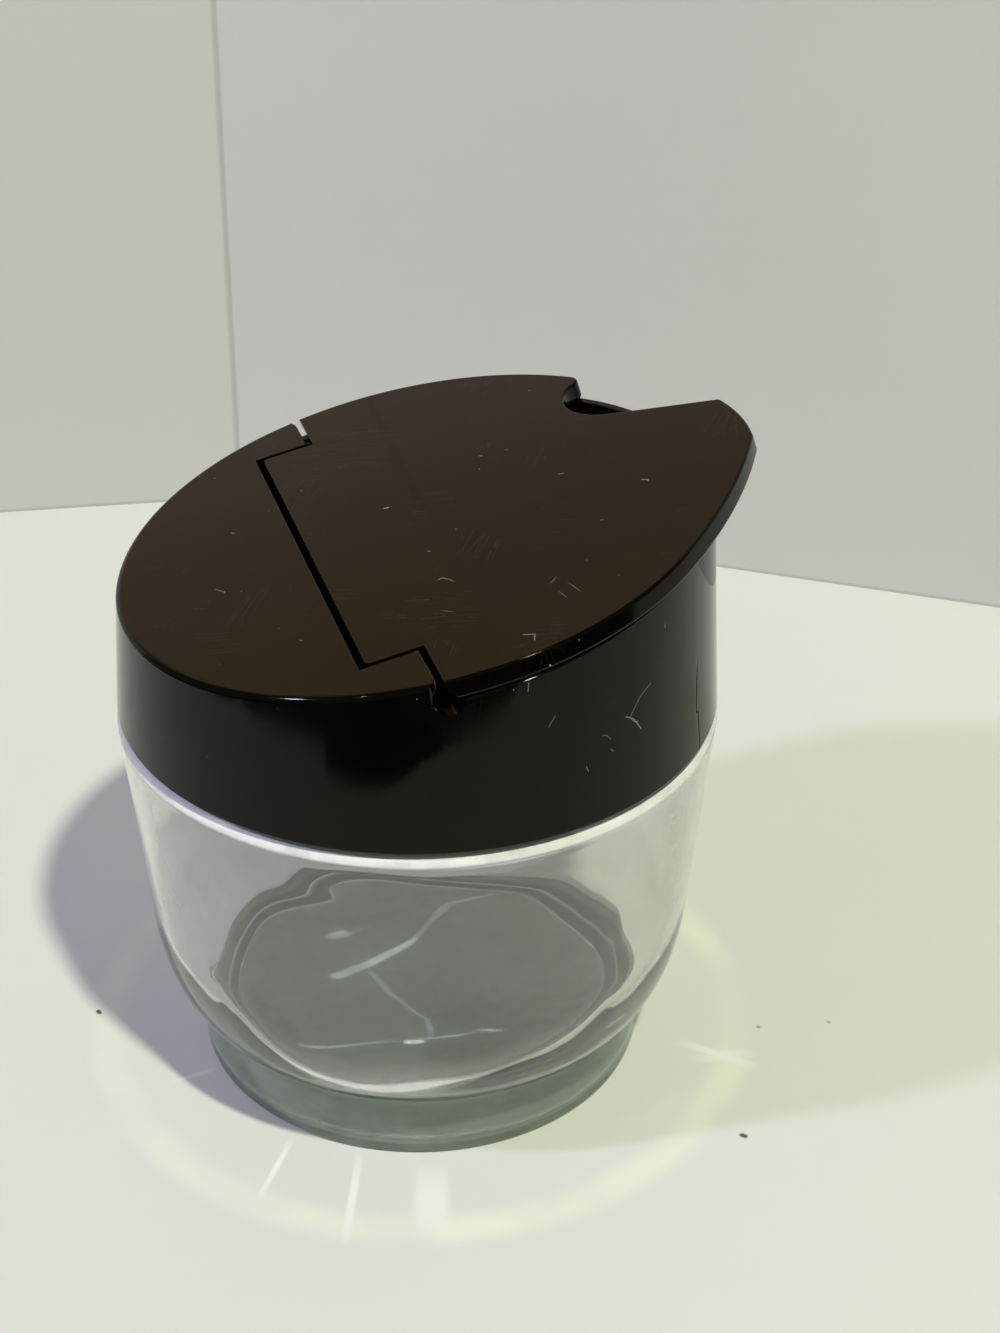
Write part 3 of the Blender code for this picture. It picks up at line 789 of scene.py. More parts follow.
@dataclass(frozen=True)
class TableFinish(StageFinish):
    """The table top, with the light that the glass gathers on it and a few crumbs."""

    ring_radius: float = 0.0467
    ring_width: float = 0.0042
    ring_colour: Colour = (0.95, 0.98, 0.82)
    ring_strength: float = 0.75
    ring_least: float = 0.25
    ring_scale: float = 45.0
    glare_colour: Colour = (1.0, 1.0, 0.94)
    glares: tuple[Stroke, ...] = (
        Stroke(((-0.0220, 0.0270), (-0.0335, 0.0347)), 0.0006, 1.0, tapered=True),
        Stroke(((-0.0270, 0.0187), (-0.0450, 0.0255)), 0.0008, 0.9, tapered=True),
        Stroke(((-0.0330, 0.0102), (-0.0470, 0.0140)), 0.0034, 0.75, tapered=True),
        Stroke(((-0.0180, -0.0312), (-0.0275, -0.0410)), 0.0012, 0.9, tapered=True),
        Stroke(((-0.0225, -0.0310), (-0.0240, -0.0420)), 0.0016, 0.6, tapered=True),
        Stroke(((-0.0063, 0.0415), (-0.0051, 0.0345)), 0.0006, 0.9, tapered=True),
    )
    glow_colour: Colour = (0.80, 0.88, 1.0)
    glow_strength: float = 2.6
    glows: tuple[Stroke, ...] = (
        Stroke(((0.0066, 0.0131), (0.0111, 0.0061), (0.0133, 0.0010)), 0.0010, 0.60),
        Stroke(((0.0133, 0.0010), (0.0190, -0.0060), (0.0205, -0.0150)), 0.0010, 0.18),
        Stroke(
            ((-0.0082, 0.0232), (-0.0107, 0.0112), (-0.0095, -0.0035)), 0.0007, 0.45, tapered=True
        ),
        Stroke(((-0.0117, 0.0102), (-0.0119, 0.0088)), 0.0013, 1.0),
        Stroke(
            ((0.0095, 0.0103), (0.0025, 0.0088), (-0.0025, 0.0048), (-0.0105, 0.0065)), 0.0008, 0.18
        ),
        Stroke(((0.0165, 0.0119), (0.0185, 0.0089)), 0.0014, 0.35, tapered=True),
        Stroke(((-0.0075, -0.0027), (-0.0115, -0.0077)), 0.0008, 0.40, tapered=True),
    )
    crumb_colour: Colour = (0.16, 0.10, 0.05)
    crumbs: tuple[Stroke, ...] = (
        Stroke(((0.0123, 0.0491), (0.0127, 0.0492)), 0.0005),
        Stroke(((-0.0399, -0.0330), (-0.0402, -0.0333)), 0.0006),
        Stroke(((-0.0186, -0.0442), (-0.0187, -0.0443)), 0.0004, 0.6),
        Stroke(((-0.0205, -0.0547), (-0.0206, -0.0548)), 0.0004, 0.5),
    )

    def marked(self, shader: ShaderTree, place: Field, colour: Field) -> Field:
        """The table's colour with the gathered light and the crumbs.

        Args:
            shader: The tree to add to.
            place: Places on the table.
            colour: Its colour without marks.

        Returns:
            The colour.
        """
        x, y, _ = shader.coordinates(place)
        off = abs(x.hypotenuse(y - JAR_AXIS_Y) - self.ring_radius)
        patches = shader.noise(place, self.ring_scale, detail=2.0).rise(0.36, 0.64)
        patches = patches * (1 - self.ring_least) + self.ring_least
        ring = off.rise(self.ring_width, self.ring_width * 0.1) * patches * self.ring_strength
        colour = shader.mix(ring, colour, self.ring_colour)
        colour = shader.mix(drawn(self.glares, x, y), colour, self.glare_colour)
        return shader.mix(drawn(self.crumbs, x, y), colour, self.crumb_colour)

    def glow(self, shader: ShaderTree, place: Field) -> dict[str, object]:
        """The light that the wall of the glass throws under its floor.

        Args:
            shader: The tree to add to.
            place: Places on the table.

        Returns:
            The emission sockets and their values.
        """
        x, y, _ = shader.coordinates(place)
        colour = shader.mix(drawn(self.glows, x, y), (0.0, 0.0, 0.0), self.glow_colour)
        return {"Emission Color": colour, "Emission Strength": self.glow_strength}


# Outlines and meshes


def clip(value: float) -> float:
    """A number, kept between 0 and 1."""
    return max(0.0, min(1.0, value))


def bearing_of(place: Vector) -> float:
    """Angle of a plan place, as the origin sees it."""
    return math.atan2(place.y, place.x)


def quarter_turns(count: int) -> list[float]:
    """Angles of a quarter turn in equal steps."""
    return [QUARTER_TURN * number / count for number in range(count + 1)]


def mirrored(points: Sequence[Vector]) -> list[Vector]:
    """Plan points on the other side of the middle, in reverse order."""
    return [Vector((-point.x, point.y)) for point in reversed(points)]


def arc(centre: Plan, radius: float, start: float, end: float, step: float) -> list[Vector]:
    """Points of an arc, both ends included.

    Args:
        centre: Its centre.
        radius: Its radius.
        start: Angle of the first point.
        end: Angle of the last.
        step: Largest turn between two points.

    Returns:
        The points.
    """
    pieces = max(1, math.ceil(abs(end - start) / step - 0.001))
    angles = [start + (end - start) * number / pieces for number in range(pieces + 1)]
    return [
        Vector((centre[0] + radius * math.cos(angle), centre[1] + radius * math.sin(angle)))
        for angle in angles
    ]


def fillet(
    before: Vector, corner: Vector, after: Vector, radius: float, step: float
) -> list[Vector]:
    """The round that replaces a corner between two neighbours on an outline.

    Args:
        before: The point before the corner.
        corner: The corner.
        after: The point after it.
        radius: The round's radius.
        step: Largest turn between two points.

    Returns:
        The round's points.
    """
    inward = (before - corner).normalized()
    outward = (after - corner).normalized()
    half_angle = inward.angle(outward) / 2
    middle = corner + (inward + outward).normalized() * radius / math.sin(half_angle)
    first = corner + inward * radius / math.tan(half_angle) - middle
    turn = first.angle_signed(corner + outward * radius / math.tan(half_angle) - middle)
    start = bearing_of(first)
    return arc(tuple(middle), radius, start, start - turn, step)


def eased(points: Sequence[Plan], spacing: float, passes: int) -> list[Plan]:
    """A line of points spread evenly, with its creases eased.

    Args:
        points: The corners of the line.
        spacing: Largest distance between two of the new points.
        passes: How often each point moves towards its neighbours. The ends stay.

    Returns:
        The new points.
    """
    corners = [Vector(point) for point in points]
    reached = [0.0]
    for first, second in zip(corners, corners[1:]):
        reached.append(reached[-1] + (second - first).length)
    count = math.ceil(reached[-1] / spacing)
    line, stretch = [corners[0]], 0
    for number in range(1, count):
        goal = reached[-1] * number / count
        while reached[stretch + 1] < goal:
            stretch += 1
        share = (goal - reached[stretch]) / (reached[stretch + 1] - reached[stretch])
        line.append(corners[stretch].lerp(corners[stretch + 1], share))
    line.append(corners[-1])
    for _ in range(passes):
        middle = [(a + 2 * b + c) / 4 for a, b, c in zip(line, line[1:], line[2:])]
        line = [line[0], *middle, line[-1]]
    return [tuple(point) for point in line]


class Outline:
    """A closed outline seen from above, counter-clockwise."""

    def __init__(self, points: Iterable[Vector]) -> None:
        """Keep the points, without repeats.

        Args:
            points: The corners in order.
        """
        kept: list[Vector] = []
        for point in points:
            if not kept or (Vector(point) - kept[-1]).length > MERGE_DISTANCE:
                kept.append(Vector(point))
        if (kept[0] - kept[-1]).length < MERGE_DISTANCE:
            kept.pop()
        self.points = kept

    def rounded(self, radii: dict[int, float], step: float) -> "Outline":
        """The outline with fillets at some corners.

        Args:
            radii: Radius by the corner's number.
            step: Largest turn between two points of a fillet.

        Returns:
            The new outline.
        """
        points: list[Vector] = []
        for number, corner in enumerate(self.points):
            if number in radii:
                after = self.points[(number + 1) % len(self.points)]
                points += fillet(self.points[number - 1], corner, after, radii[number], step)
            else:
                points.append(corner)
        return Outline(points)

    def inset(self, distance: Callable[[Vector, Vector], float]) -> list[Vector]:
        """The corners moved inwards.

        Args:
            distance: How far the side between two corners moves.

        Returns:
            One moved corner for each corner.
        """
        count = len(self.points)
        sides = [(self.points[i], self.points[(i + 1) % count]) for i in range(count)]
        normals = [Vector((a.y - b.y, b.x - a.x)).normalized() for a, b in sides]
        moves = [distance(a, b) for a, b in sides]
        moved = []
        for i, corner in enumerate(self.points):
            before, after = normals[i - 1], normals[i]
            first, second = moves[i - 1], moves[i]
            turn = before.x * after.y - before.y * after.x
            if abs(first - second) < MERGE_DISTANCE or abs(turn) < 0.05:
                shift = (before + after) * (first + second) / 2 / (1 + before.dot(after))
            else:
                across = first * after.y - second * before.y
                along = second * before.x - first * after.x
                shift = Vector((across, along)) / turn
            moved.append(corner + shift)
        return moved


class Shell:
    """A mesh in the making."""

    def __init__(self) -> None:
        """Start empty."""
        self.bm = bmesh.new()

    def loop(self, points: Iterable[Sequence[float]]) -> list[bmesh.types.BMVert]:
        """Add the corners of a closed loop.

        Args:
            points: Its places.

        Returns:
            The corners.
        """
        return [self.bm.verts.new(point) for point in points]

    def strip(self, first: list[bmesh.types.BMVert], second: list[bmesh.types.BMVert]) -> None:
        """Join two loops of as many corners by a strip of faces.

        Args:
            first: One loop.
            second: The other. Either may be a single corner, where the strip is a fan.
        """
        count = max(len(first), len(second))
        for i in range(count):
            j = (i + 1) % count
            if len(first) == 1:
                self.bm.faces.new((first[0], second[j], second[i]))
            elif len(second) == 1:
                self.bm.faces.new((first[i], first[j], second[0]))
            else:
                self.bm.faces.new((first[i], first[j], second[j], second[i]))

    def stack(self, loops: Sequence[list[bmesh.types.BMVert]]) -> None:
        """Join neighbouring loops by strips.

        Args:
            loops: The loops in order.
        """
        for first, second in zip(loops, loops[1:]):
            self.strip(first, second)

    def fill(self, *loops: list[bmesh.types.BMVert]) -> None:
        """Fill the level area inside a loop, less the area inside the others.

        Args:
            loops: The outer loop, then the loops of holes.
        """
        if len(loops) == 1:
            self.bm.faces.new(loops[0])
            return
        edges = []
        for loop in loops:
            for pair in zip(loop, loop[1:] + loop[:1]):
                edges.append(self.bm.edges.get(pair) or self.bm.edges.new(pair))
        bmesh.ops.triangle_fill(self.bm, use_beauty=True, edges=edges)

    def solid(self, loops: Sequence[list[bmesh.types.BMVert]]) -> None:
        """Join neighbouring loops by strips and fill both ends.

        Args:
            loops: The loops in order.
        """
        self.stack(loops)
        self.fill(loops[0])
        self.fill(loops[-1])

    def turned(
        self,
        profile: Sequence[Plan],
        sides: int,
        relief: Optional[Callable[[int, float], Plan]] = None,
    ) -> None:
        """Turn a profile about the jar's axis.

        Args:
            profile: Radius and height of its points. It starts and ends on the axis.
            sides: Steps in a whole turn.
            relief: Extra radius and height by the point's number and the bearing.
        """
        loops = []
        for row, (radius, height) in enumerate(profile):
            points = []
            for number in range(sides if radius else 1):
                turn = WHOLE_TURN * number / sides
                outward, upward = relief(row, turn) if relief and radius else (0.0, 0.0)
                reach = radius + outward
                x, y = reach * math.cos(turn), JAR_AXIS_Y + reach * math.sin(turn)
                points.append((x, y, height + upward))
            loops.append(self.loop(points))
        self.stack(loops)

    def pin(self, radius: float, start: float, end: float, edge: float, sides: int = 40) -> None:
        """A round bar along X, its ends rounded.

        Args:
            radius: The bar's radius.
            start: X of one end.
            end: X of the other.
            edge: Radius of the rounded edges.
            sides: Steps in a whole turn.
        """
        shape = []
        for turn in quarter_turns(3):
            shape.append((radius - edge + edge * math.sin(turn), edge - edge * math.cos(turn)))
        rows = [(r, start + x) for r, x in shape] + [(r, end - x) for r, x in reversed(shape)]
        turns = [WHOLE_TURN * number / sides for number in range(sides)]
        loops = []
        for reach, x in rows:
            loops.append(self.loop([(x, reach * math.cos(t), reach * math.sin(t)) for t in turns]))
        self.solid(loops)

    def place(self, frame: Matrix) -> "Shell":
        """Move the whole shell into a frame."""
        bmesh.ops.transform(self.bm, matrix=frame, verts=self.bm.verts)
        return self

    def to_object(self, name: str) -> bpy.types.Object:
        """Make an object of the shell.

        Args:
            name: The object's name.

        Returns:
            The object, in the scene.
        """
        bmesh.ops.recalc_face_normals(self.bm, faces=self.bm.faces)
        mesh = bpy.data.meshes.new(name)
        self.bm.to_mesh(mesh)
        self.bm.free()
        piece = bpy.data.objects.new(name, mesh)
        show(piece)
        return piece


def show(thing: bpy.types.Object) -> None:
    """Put an object in the scene."""
    bpy.context.scene.collection.objects.link(thing)


def carve(piece: bpy.types.Object, tool: bpy.types.Object) -> None:
    """Cut a piece by a tool, and remove the tool.

    Args:
        piece: The piece.
        tool: The tool.
    """
    modifier = piece.modifiers.new(tool.name, "BOOLEAN")
    modifier.operation = "DIFFERENCE"
    modifier.solver = "EXACT"
    modifier.object = tool
    bake(piece)
    bpy.data.objects.remove(tool)


def bake(piece: bpy.types.Object) -> None:
    """Apply a piece's modifiers.

    Args:
        piece: The piece.
    """
    evaluated = piece.evaluated_get(bpy.context.evaluated_depsgraph_get())
    mesh = bpy.data.meshes.new_from_object(evaluated)
    piece.modifiers.clear()
    piece.data = mesh
    mesh.name = piece.name


def smooth(piece: bpy.types.Object) -> None:
    """Shade a piece smoothly between its sharp edges, with its large faces kept flat.

    Args:
        piece: The piece.
    """
    piece.data.shade_smooth()
    piece.data.set_sharp_from_angle(angle=SHARP_ANGLE)
    weighting = piece.modifiers.new("flat_faces", "WEIGHTED_NORMAL")
    weighting.keep_sharp = True


@dataclass(frozen=True)
class Helix:
    """A screw thread's ridge."""

    start_height: float
    pitch: float = 0.0040
    first_turn: float = 0.0
    last_turn: float = 1.5
    height: float = 0.0010
    half_width: float = 0.0010
    run_out_rate: float = 12.0
    crest: float = 0.5
    flank: float = 0.75

    def ridge(self, height: float, bearing: float) -> float:
        """How far the ridge stands out.

        Args:
            height: Height of a place.
            bearing: Its bearing about the jar's axis, from 0 to a whole turn.

        Returns:
            The ridge's height there.
        """
        best = 0.0
        for whole in range(math.ceil(self.last_turn) + 1):
            turns = bearing / WHOLE_TURN + whole
            beyond = max(self.first_turn - turns, turns - self.last_turn, 0.0) * self.run_out_rate
            off = abs(height - self.start_height - self.pitch * turns) / self.half_width
            share = clip((self.crest + self.flank - off) / self.flank) * max(0.0, 1.0 - beyond)
            best = max(best, share * share * (3 - 2 * share))
        return best * self.height


# Sub-assemblies


@dataclass(frozen=True)
class SlopedTop:
    """The slope of the cap's top and the hinge line in it."""

    slope: float = CAP_SLOPE
    top_height: float = CAP_TOP_HEIGHT
    hinge_depth: float = 0.0021
    hinge_foot_y: float = 0.0113

    @property
    def frame(self) -> Matrix:
        """The frame on the hinge line.

        Returns:
            Its place and turn: Y runs down the slope, towards the back, and Z is square to it.
        """
        y = self.hinge_foot_y - self.hinge_depth * math.sin(self.slope)
        z = self.top_height - y * math.tan(self.slope) - self.hinge_depth / math.cos(self.slope)
        return Matrix.Translation((0.0, JAR_AXIS_Y + y, z)) @ Matrix.Rotation(-self.slope, 4, "X")

    def along(self, y: float, depth: float = 0.0) -> float:
        """Where a plan place lies along the slope.

        Args:
            y: The place, counted from the jar's axis.
            depth: How deep below the top it is.

        Returns:
            Its distance from the hinge, down the slope.
        """
        return (y - self.hinge_foot_y) / math.cos(self.slope) + depth * math.tan(self.slope)

    def on_slope(self, plan: Iterable[Vector], height: float, depth: float = 0.0) -> list[Vector]:
        """Plan places put on the slope.

        Args:
            plan: The places.
            height: Their height square to the slope, from the hinge.
            depth: Depth at which the plan is laid on the slope.

        Returns:
            The places in the hinge's frame.
        """
        return [Vector((p.x, self.along(p.y, depth), height)) for p in plan]


@dataclass
class GlassJar:
    """The pressed glass: a tapering body on a foot ring, with a threaded neck."""

    finish: GlassFinish
    shoulder_radius: float = 0.0412
    shoulder_height: float = 0.0561
    shoulder_round: float = 0.0016
    body_taper: float = 0.0027
    heel_height: float = 0.0250
    heel_inset: float = 0.0072
    heel_power: float = 1.8
    foot_height: float = 0.0080
    foot_groove: float = 0.0014
    foot_flare: float = 0.0007
    foot_round: float = 0.0009
    bearing_width: float = 0.0026
    push_up: float = 0.0020
    neck_inset: float = 0.0038
    neck_fillet: float = 0.0008
    neck_wall: float = 0.0032
    rim_round: float = 0.0012
    wall: float = 0.0030
    floor_thickness: float = 0.0075
    inner_heel_inset: float = 0.0105
    inner_lean: float = -0.0010
    inner_shoulder_drop: float = 0.0029
    inner_shoulder_height: float = 0.0027
    inner_shoulder_rows: int = 16
    heel_rows: int = 30
    push_up_rows: int = 24
    top: float = 0.070027
    thread: Helix = field(default_factory=lambda: Helix(start_height=0.0592))
    wall_wave: float = 0.0015
    wave_bearing: float = math.radians(163)
    heel_wave: float = 0.0026
    floor_wave: float = 0.0006
    wave_length: float = 0.024
    heel_wave_power: float = 1.5
    floor_wave_scale: float = 1.3
    floor_wave_shift: Place = (5.0, 3.0, 1.0)
    sides: int = 256
    step: float = math.radians(3.0)
    row: float = 0.0003
    wall_row: float = 0.0009
    easing_passes: int = 8

    def build(self) -> bpy.types.Object:
        """Build the glass.

        Returns:
            The piece, riding on the jar's body.
        """
        inside, outside = self.inside(), self.outside()
        profile = inside + outside

        def relief(row: int, bearing: float) -> Plan:
            """The waves of the inside and the thread's ridge on the neck.

            Args:
                row: The point's number on the profile.
                bearing: Its bearing.

            Returns:
                Extra radius and height.
            """
            radius, height = profile[row]
            if row < len(inside):
                return self.wave(radius, height, bearing)
            neck = self.shoulder_radius - self.neck_inset
            if abs(radius - neck) < MERGE_DISTANCE and height > self.shoulder_height:
                return self.thread.ridge(height, bearing), 0.0
            return 0.0, 0.0

        shell = Shell()
        shell.turned(profile, self.sides, relief)
        piece = shell.to_object("glass")
        piece.data.materials.append(self.finish.material())
        piece.data.shade_smooth()
        piece.cycles.is_caustics_caster = True
        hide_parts("glass_jar")
        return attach(piece, "jar")

    def wave(self, radius: float, height: float, bearing: float) -> Plan:
        """How far the pressed inside strays from its turned shape.

        Args:
            radius: Radius of a place.
            height: Its height.
            bearing: Its bearing.

        Returns:
            Extra radius and height.
        """
        floor = self.push_up + self.floor_thickness
        rise = clip((height - floor) / (self.heel_height - floor))
        fall = clip((self.shoulder_height - height) / (self.shoulder_height - self.heel_height))
        share = (self.heel_wave - self.wall_wave) * fall**self.heel_wave_power
        share += self.wall_wave * clip(fall * 4)
        share *= max(0.0, math.cos(2 * (bearing - self.wave_bearing)))
        place = Vector((radius * math.cos(bearing), radius * math.sin(bearing), height))
        place = place / self.wave_length
        outward = noise.noise(place) * share * clip(rise * 3)
        floor_share = self.floor_wave * (1 - rise) * clip(radius / (self.shoulder_radius / 4))
        place = place * self.floor_wave_scale + Vector(self.floor_wave_shift)
        return outward, noise.noise(place) * floor_share

    def heel(self, inset: float, height: float) -> list[Plan]:
        """Offsets of a rounded heel, from its upright end to its level end.

        Args:
            inset: How far it comes in.
            height: How far it goes down.

        Returns:
            Offsets of radius and height.
        """
        power = 2 / self.heel_power
        turns = quarter_turns(self.heel_rows)
        return [
            (-inset * (1 - math.cos(turn) ** power), -height * math.sin(turn) ** power)
            for turn in turns
        ]

    def inside(self) -> list[Plan]:
        """The inside, from the middle of the floor to the start of the rim.

        Returns:
            Radius and height of each point.
        """
        floor = self.push_up + self.floor_thickness
        inner_wall = self.shoulder_radius - self.wall
        inner_heel = inner_wall - self.body_taper - self.inner_lean
        mouth = self.shoulder_radius - self.neck_inset - self.neck_wall
        heel = self.heel(self.inner_heel_inset, self.heel_height - floor)
        line = [(0.0, floor)]
        line += [(inner_heel + across, self.heel_height + up) for across, up in reversed(heel)]
        bend_low = self.shoulder_height - self.inner_shoulder_drop
        line = eased([*line, (inner_wall, bend_low)], self.wall_row, self.easing_passes)
        for number in range(1, self.inner_shoulder_rows + 1):
            share = number / self.inner_shoulder_rows
            across = (mouth - inner_wall) * (1 - math.cos(math.pi * share)) / 2
            line.append((inner_wall + across, bend_low + self.inner_shoulder_height * share))
        return line

    def outside(self) -> list[Plan]:
        """The outside, over the rim and down the neck, the body and the foot to the axis.

        Returns:
            Radius and height of each point.
        """
        neck = self.shoulder_radius - self.neck_inset
        mouth = neck - self.neck_wall
        rim_z = self.top - self.rim_round
        rim_centre = (mouth + self.rim_round, rim_z)
        rim = arc(rim_centre, self.rim_round, math.pi, QUARTER_TURN, self.step * 4)
        rim_centre = (neck - self.rim_round, rim_z)
        rim += arc(rim_centre, self.rim_round, QUARTER_TURN, 0.0, self.step * 4)
        root_z = self.shoulder_height + self.neck_fillet
        neck_rows = self.rows((neck, rim_z), (neck, root_z), self.row)
        root_centre = (neck + self.neck_fillet, root_z)
        root = arc(root_centre, self.neck_fillet, math.pi, math.pi * 1.5, self.step * 4)
        round_x = self.shoulder_radius - self.shoulder_round
        round_z = self.shoulder_height - self.shoulder_round
        shoulder = arc((round_x, round_z), self.shoulder_round, QUARTER_TURN, 0.0, self.step * 2)

        heel_radius = self.shoulder_radius - self.body_taper
        waist = heel_radius - self.heel_inset
        heel = self.heel(self.heel_inset, self.heel_height - self.foot_height - self.foot_groove)
        body = [tuple(shoulder[-1])]
        body += [(heel_radius + across, self.heel_height + up) for across, up in heel]
        body = eased(body, self.wall_row, self.easing_passes)
        foot_radius = waist + self.foot_flare
        foot = [Vector((waist, self.foot_height))]
        foot_centre = (foot_radius - self.foot_round, self.foot_round)
        foot += arc(foot_centre, self.foot_round, 0.0, -QUARTER_TURN, self.step * 4)
        bearing = foot_radius - self.foot_round - self.bearing_width
        turns = quarter_turns(self.push_up_rows)
        under = [(bearing * math.cos(turn), self.push_up * math.sin(turn)) for turn in turns]
        parts = [rim, neck_rows, root[1:], shoulder, body[1:], foot, under[:-1]]
        return [tuple(point) for part in parts for point in part] + [(0.0, self.push_up)]

    @staticmethod
    def rows(start: Plan, end: Plan, spacing: float) -> list[Plan]:
        """Points along a straight wall, its first end left out.

        Args:
            start: One end.
            end: The other.
            spacing: Largest distance between rows.

        Returns:
            The points.
        """
        count = max(1, math.ceil(math.dist(start, end) / spacing))
        shares = [number / count for number in range(1, count + 1)]
        return [tuple(Vector(start).lerp(Vector(end), share)) for share in shares]


@dataclass
class ScrewCap:
    """The cap: skirt, threaded bore, seat and lip, sloping deck and the ears of the hinge."""

    finish: PlasticFinish
    top: SlopedTop
    bottom: float = 0.0566
    height: float = 0.0254
    radius: float = 0.0411
    taper: float = math.radians(3.6)
    skirt_round: float = 0.0005
    deck_thickness: float = 0.0020
    deck_round: float = 0.0008
    chimney_wall: float = 0.0014
    seat_thickness: float = 0.0016
    seat_underside: float = 0.070327
    lip_depth: float = 0.0030
    lip_wall: float = 0.0012
    lip_outer: float = 0.0338
    shelf_edge_y: float = 0.0015
    shelf_set_in: float = 0.0003
    bore_radius: float = 0.0390
    lid_radius: float = LID_RADIUS
    ear_width: float = 0.0085
    ear_front_y: float = 0.0080
    ear_corner_round: float = 0.0020
    deck_front_y: float = 0.0154
    ear_wall: float = 0.0015
    ear_wall_set_back: float = 0.0003
    bearing_wall: float = 0.0026
    bearing_radius: float = 0.0013
    hinge_frame_depth: float = 0.0047
    relief_radius: float = 0.00195
    relief_set_forward: float = 0.0013
    relief_depth: float = 0.0026
    rim_drop: float = 0.0030
    edge_round: float = 0.00020
    edge_angle: float = math.radians(40.0)
    thread: Helix = field(
        default_factory=lambda: Helix(0.0572, first_turn=0.35, last_turn=1.45, height=0.0009)
    )
    thread_margin: float = 0.0016
    thread_row: float = 0.00035
    overcut: float = 0.0003
    overrun: float = 0.0060
    plug_rise: float = 0.046
    opening_reach: float = 0.052
    tool_reach: float = 0.13
    sides: int = 192
    step: float = math.radians(3.0)

    def build(self) -> bpy.types.Object:
        """Build the cap.

        Returns:
            The piece, riding on the cap's body.
        """
        cap = self.plug()
        carve(cap, self.half_space("above", self.top.hinge_depth))
        self.round_deck(cap)
        makers = (self.cavity, self.lid_opening, self.pocket, self.bearings, self.relief)
        for tool in [make() for make in makers]:
            carve(cap, tool)
        self.round_edges(cap)
        cap.data.materials.append(self.finish.material())
        smooth(cap)
        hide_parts("screw_cap")
        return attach(cap, "cap")

    @property
    def ear_side_x(self) -> float:
        """Half the width between the ears' outer sides, at their front."""
        return math.sqrt(self.lid_radius**2 - self.ear_front_y**2)

    @property
    def pocket_half_width(self) -> float:
        """Half the width of the pocket that takes the lid's tongue."""
        return self.ear_side_x - self.ear_width

    def skirt_radius(self, height: float) -> float:
        """The cap's outer radius at a height."""
        return self.radius - (height - self.bottom) * math.tan(self.taper)

    def block(self, name: str, low: Sequence[float], high: Sequence[float]) -> bpy.types.Object:
        """A box in the hinge's frame.

        Args:
            name: Its name.
            low: Its lowest corner.
            high: Its highest corner.

        Returns:
            The box.
        """
        corners = [Vector((low[0], low[1])), Vector((high[0], low[1]))]
        corners += [Vector((high[0], high[1])), Vector((low[0], high[1]))]
        return self.prism(name, corners, low[2], high[2])

    def half_space(self, name: str, low: float) -> bpy.types.Object:
        """Everything above a height in the hinge's frame."""
        reach = self.tool_reach
        return self.block(name, (-reach, -reach, low), (reach, reach, reach))

    def prism(
        self, name: str, outline: Sequence[Vector], low: float, high: float
    ) -> bpy.types.Object:
        """A straight-sided solid in the hinge's frame.

        Args:
            name: Its name.
            outline: Its outline on the slope.
            low: Height of its underside.
            high: Height of its top.

        Returns:
            The solid.
        """
        shell = Shell()
        shell.solid([shell.loop([(p.x, p.y, z) for p in outline]) for z in (low, high)])
        return shell.place(self.top.frame).to_object(name)

    def plate(
        self, name: str, plan: Sequence[Vector], low: float, high: float
    ) -> bpy.types.Object:
        """A straight-sided solid from an outline that is given in plan."""
        return self.prism(name, [Vector((p.x, self.top.along(p.y))) for p in plan], low, high)

    @property
    def peak(self) -> float:
        """Height of the plug's top, well above the cap's."""
        return self.bottom + self.height + self.plug_rise

    def plug(self) -> bpy.types.Object:
        """The cap as a full plug.

        Returns:
            The plug.
        """
        peak = self.peak
        side_bottom = self.bottom + self.skirt_round
        middle = (self.skirt_radius(side_bottom) - self.skirt_round, side_bottom)
        edge = arc(middle, self.skirt_round, 0.0, -QUARTER_TURN, self.step * 4)
        profile = [(0.0, peak), (self.skirt_radius(peak), peak)]
        profile += [*map(tuple, edge), (0.0, self.bottom)]
        shell = Shell()
        shell.turned(profile, self.sides)
        return shell.to_object("screw_cap_shell")

    def round_deck(self, cap: bpy.types.Object) -> None:
        """Round the edge of the sloping top.

        Args:
            cap: The plug with its top cut off.
        """
        bevel = cap.modifiers.new("deck_edge", "BEVEL")
        bevel.width = self.deck_round
        bevel.segments = 6
        bevel.limit_method = "ANGLE"
        bevel.angle_limit = SHARP_ANGLE
        bake(cap)

    def cavity(self) -> bpy.types.Object:
        """The cap's hollow: chimney, throat, sealing lip and threaded bore.

        Returns:
            The tool that cuts it.
        """
        peak = self.peak
        chimney = self.skirt_radius(self.bottom + self.height) - self.chimney_wall
        throat = self.lip_outer - self.lip_wall
        lip_bottom = self.seat_underside - self.lip_depth
        seat_top = self.seat_underside + self.seat_thickness
        profile = [
            (0.0, peak),
            (chimney, peak),
            (chimney, seat_top),
            (throat, seat_top),
            (throat, lip_bottom),
            (self.lip_outer, lip_bottom),
            (self.lip_outer, self.seat_underside),
            (self.bore_radius, self.seat_underside),
        ]
        thread_end = self.thread.start_height + self.thread.pitch * self.thread.last_turn
        high = thread_end + self.thread_margin
        rows = math.ceil((high - self.bottom) / self.thread_row)
        heights = [high + (self.bottom - high) * number / rows for number in range(rows + 1)]
        profile += [(self.bore_radius, height) for height in heights]
        profile += [(radius, self.bottom - self.overrun) for radius in (self.bore_radius, 0.0)]

        def relief(row: int, bearing: float) -> Plan:
            """How far the thread comes in from the bore.

            Args:
                row: The point's number on the profile.
                bearing: Its bearing.

            Returns:
                Extra radius and height.
            """
            radius, height = profile[row]
            on_bore = abs(radius - self.bore_radius) < MERGE_DISTANCE and height > self.bottom
            return (-self.thread.ridge(height, bearing) if on_bore else 0.0), 0.0

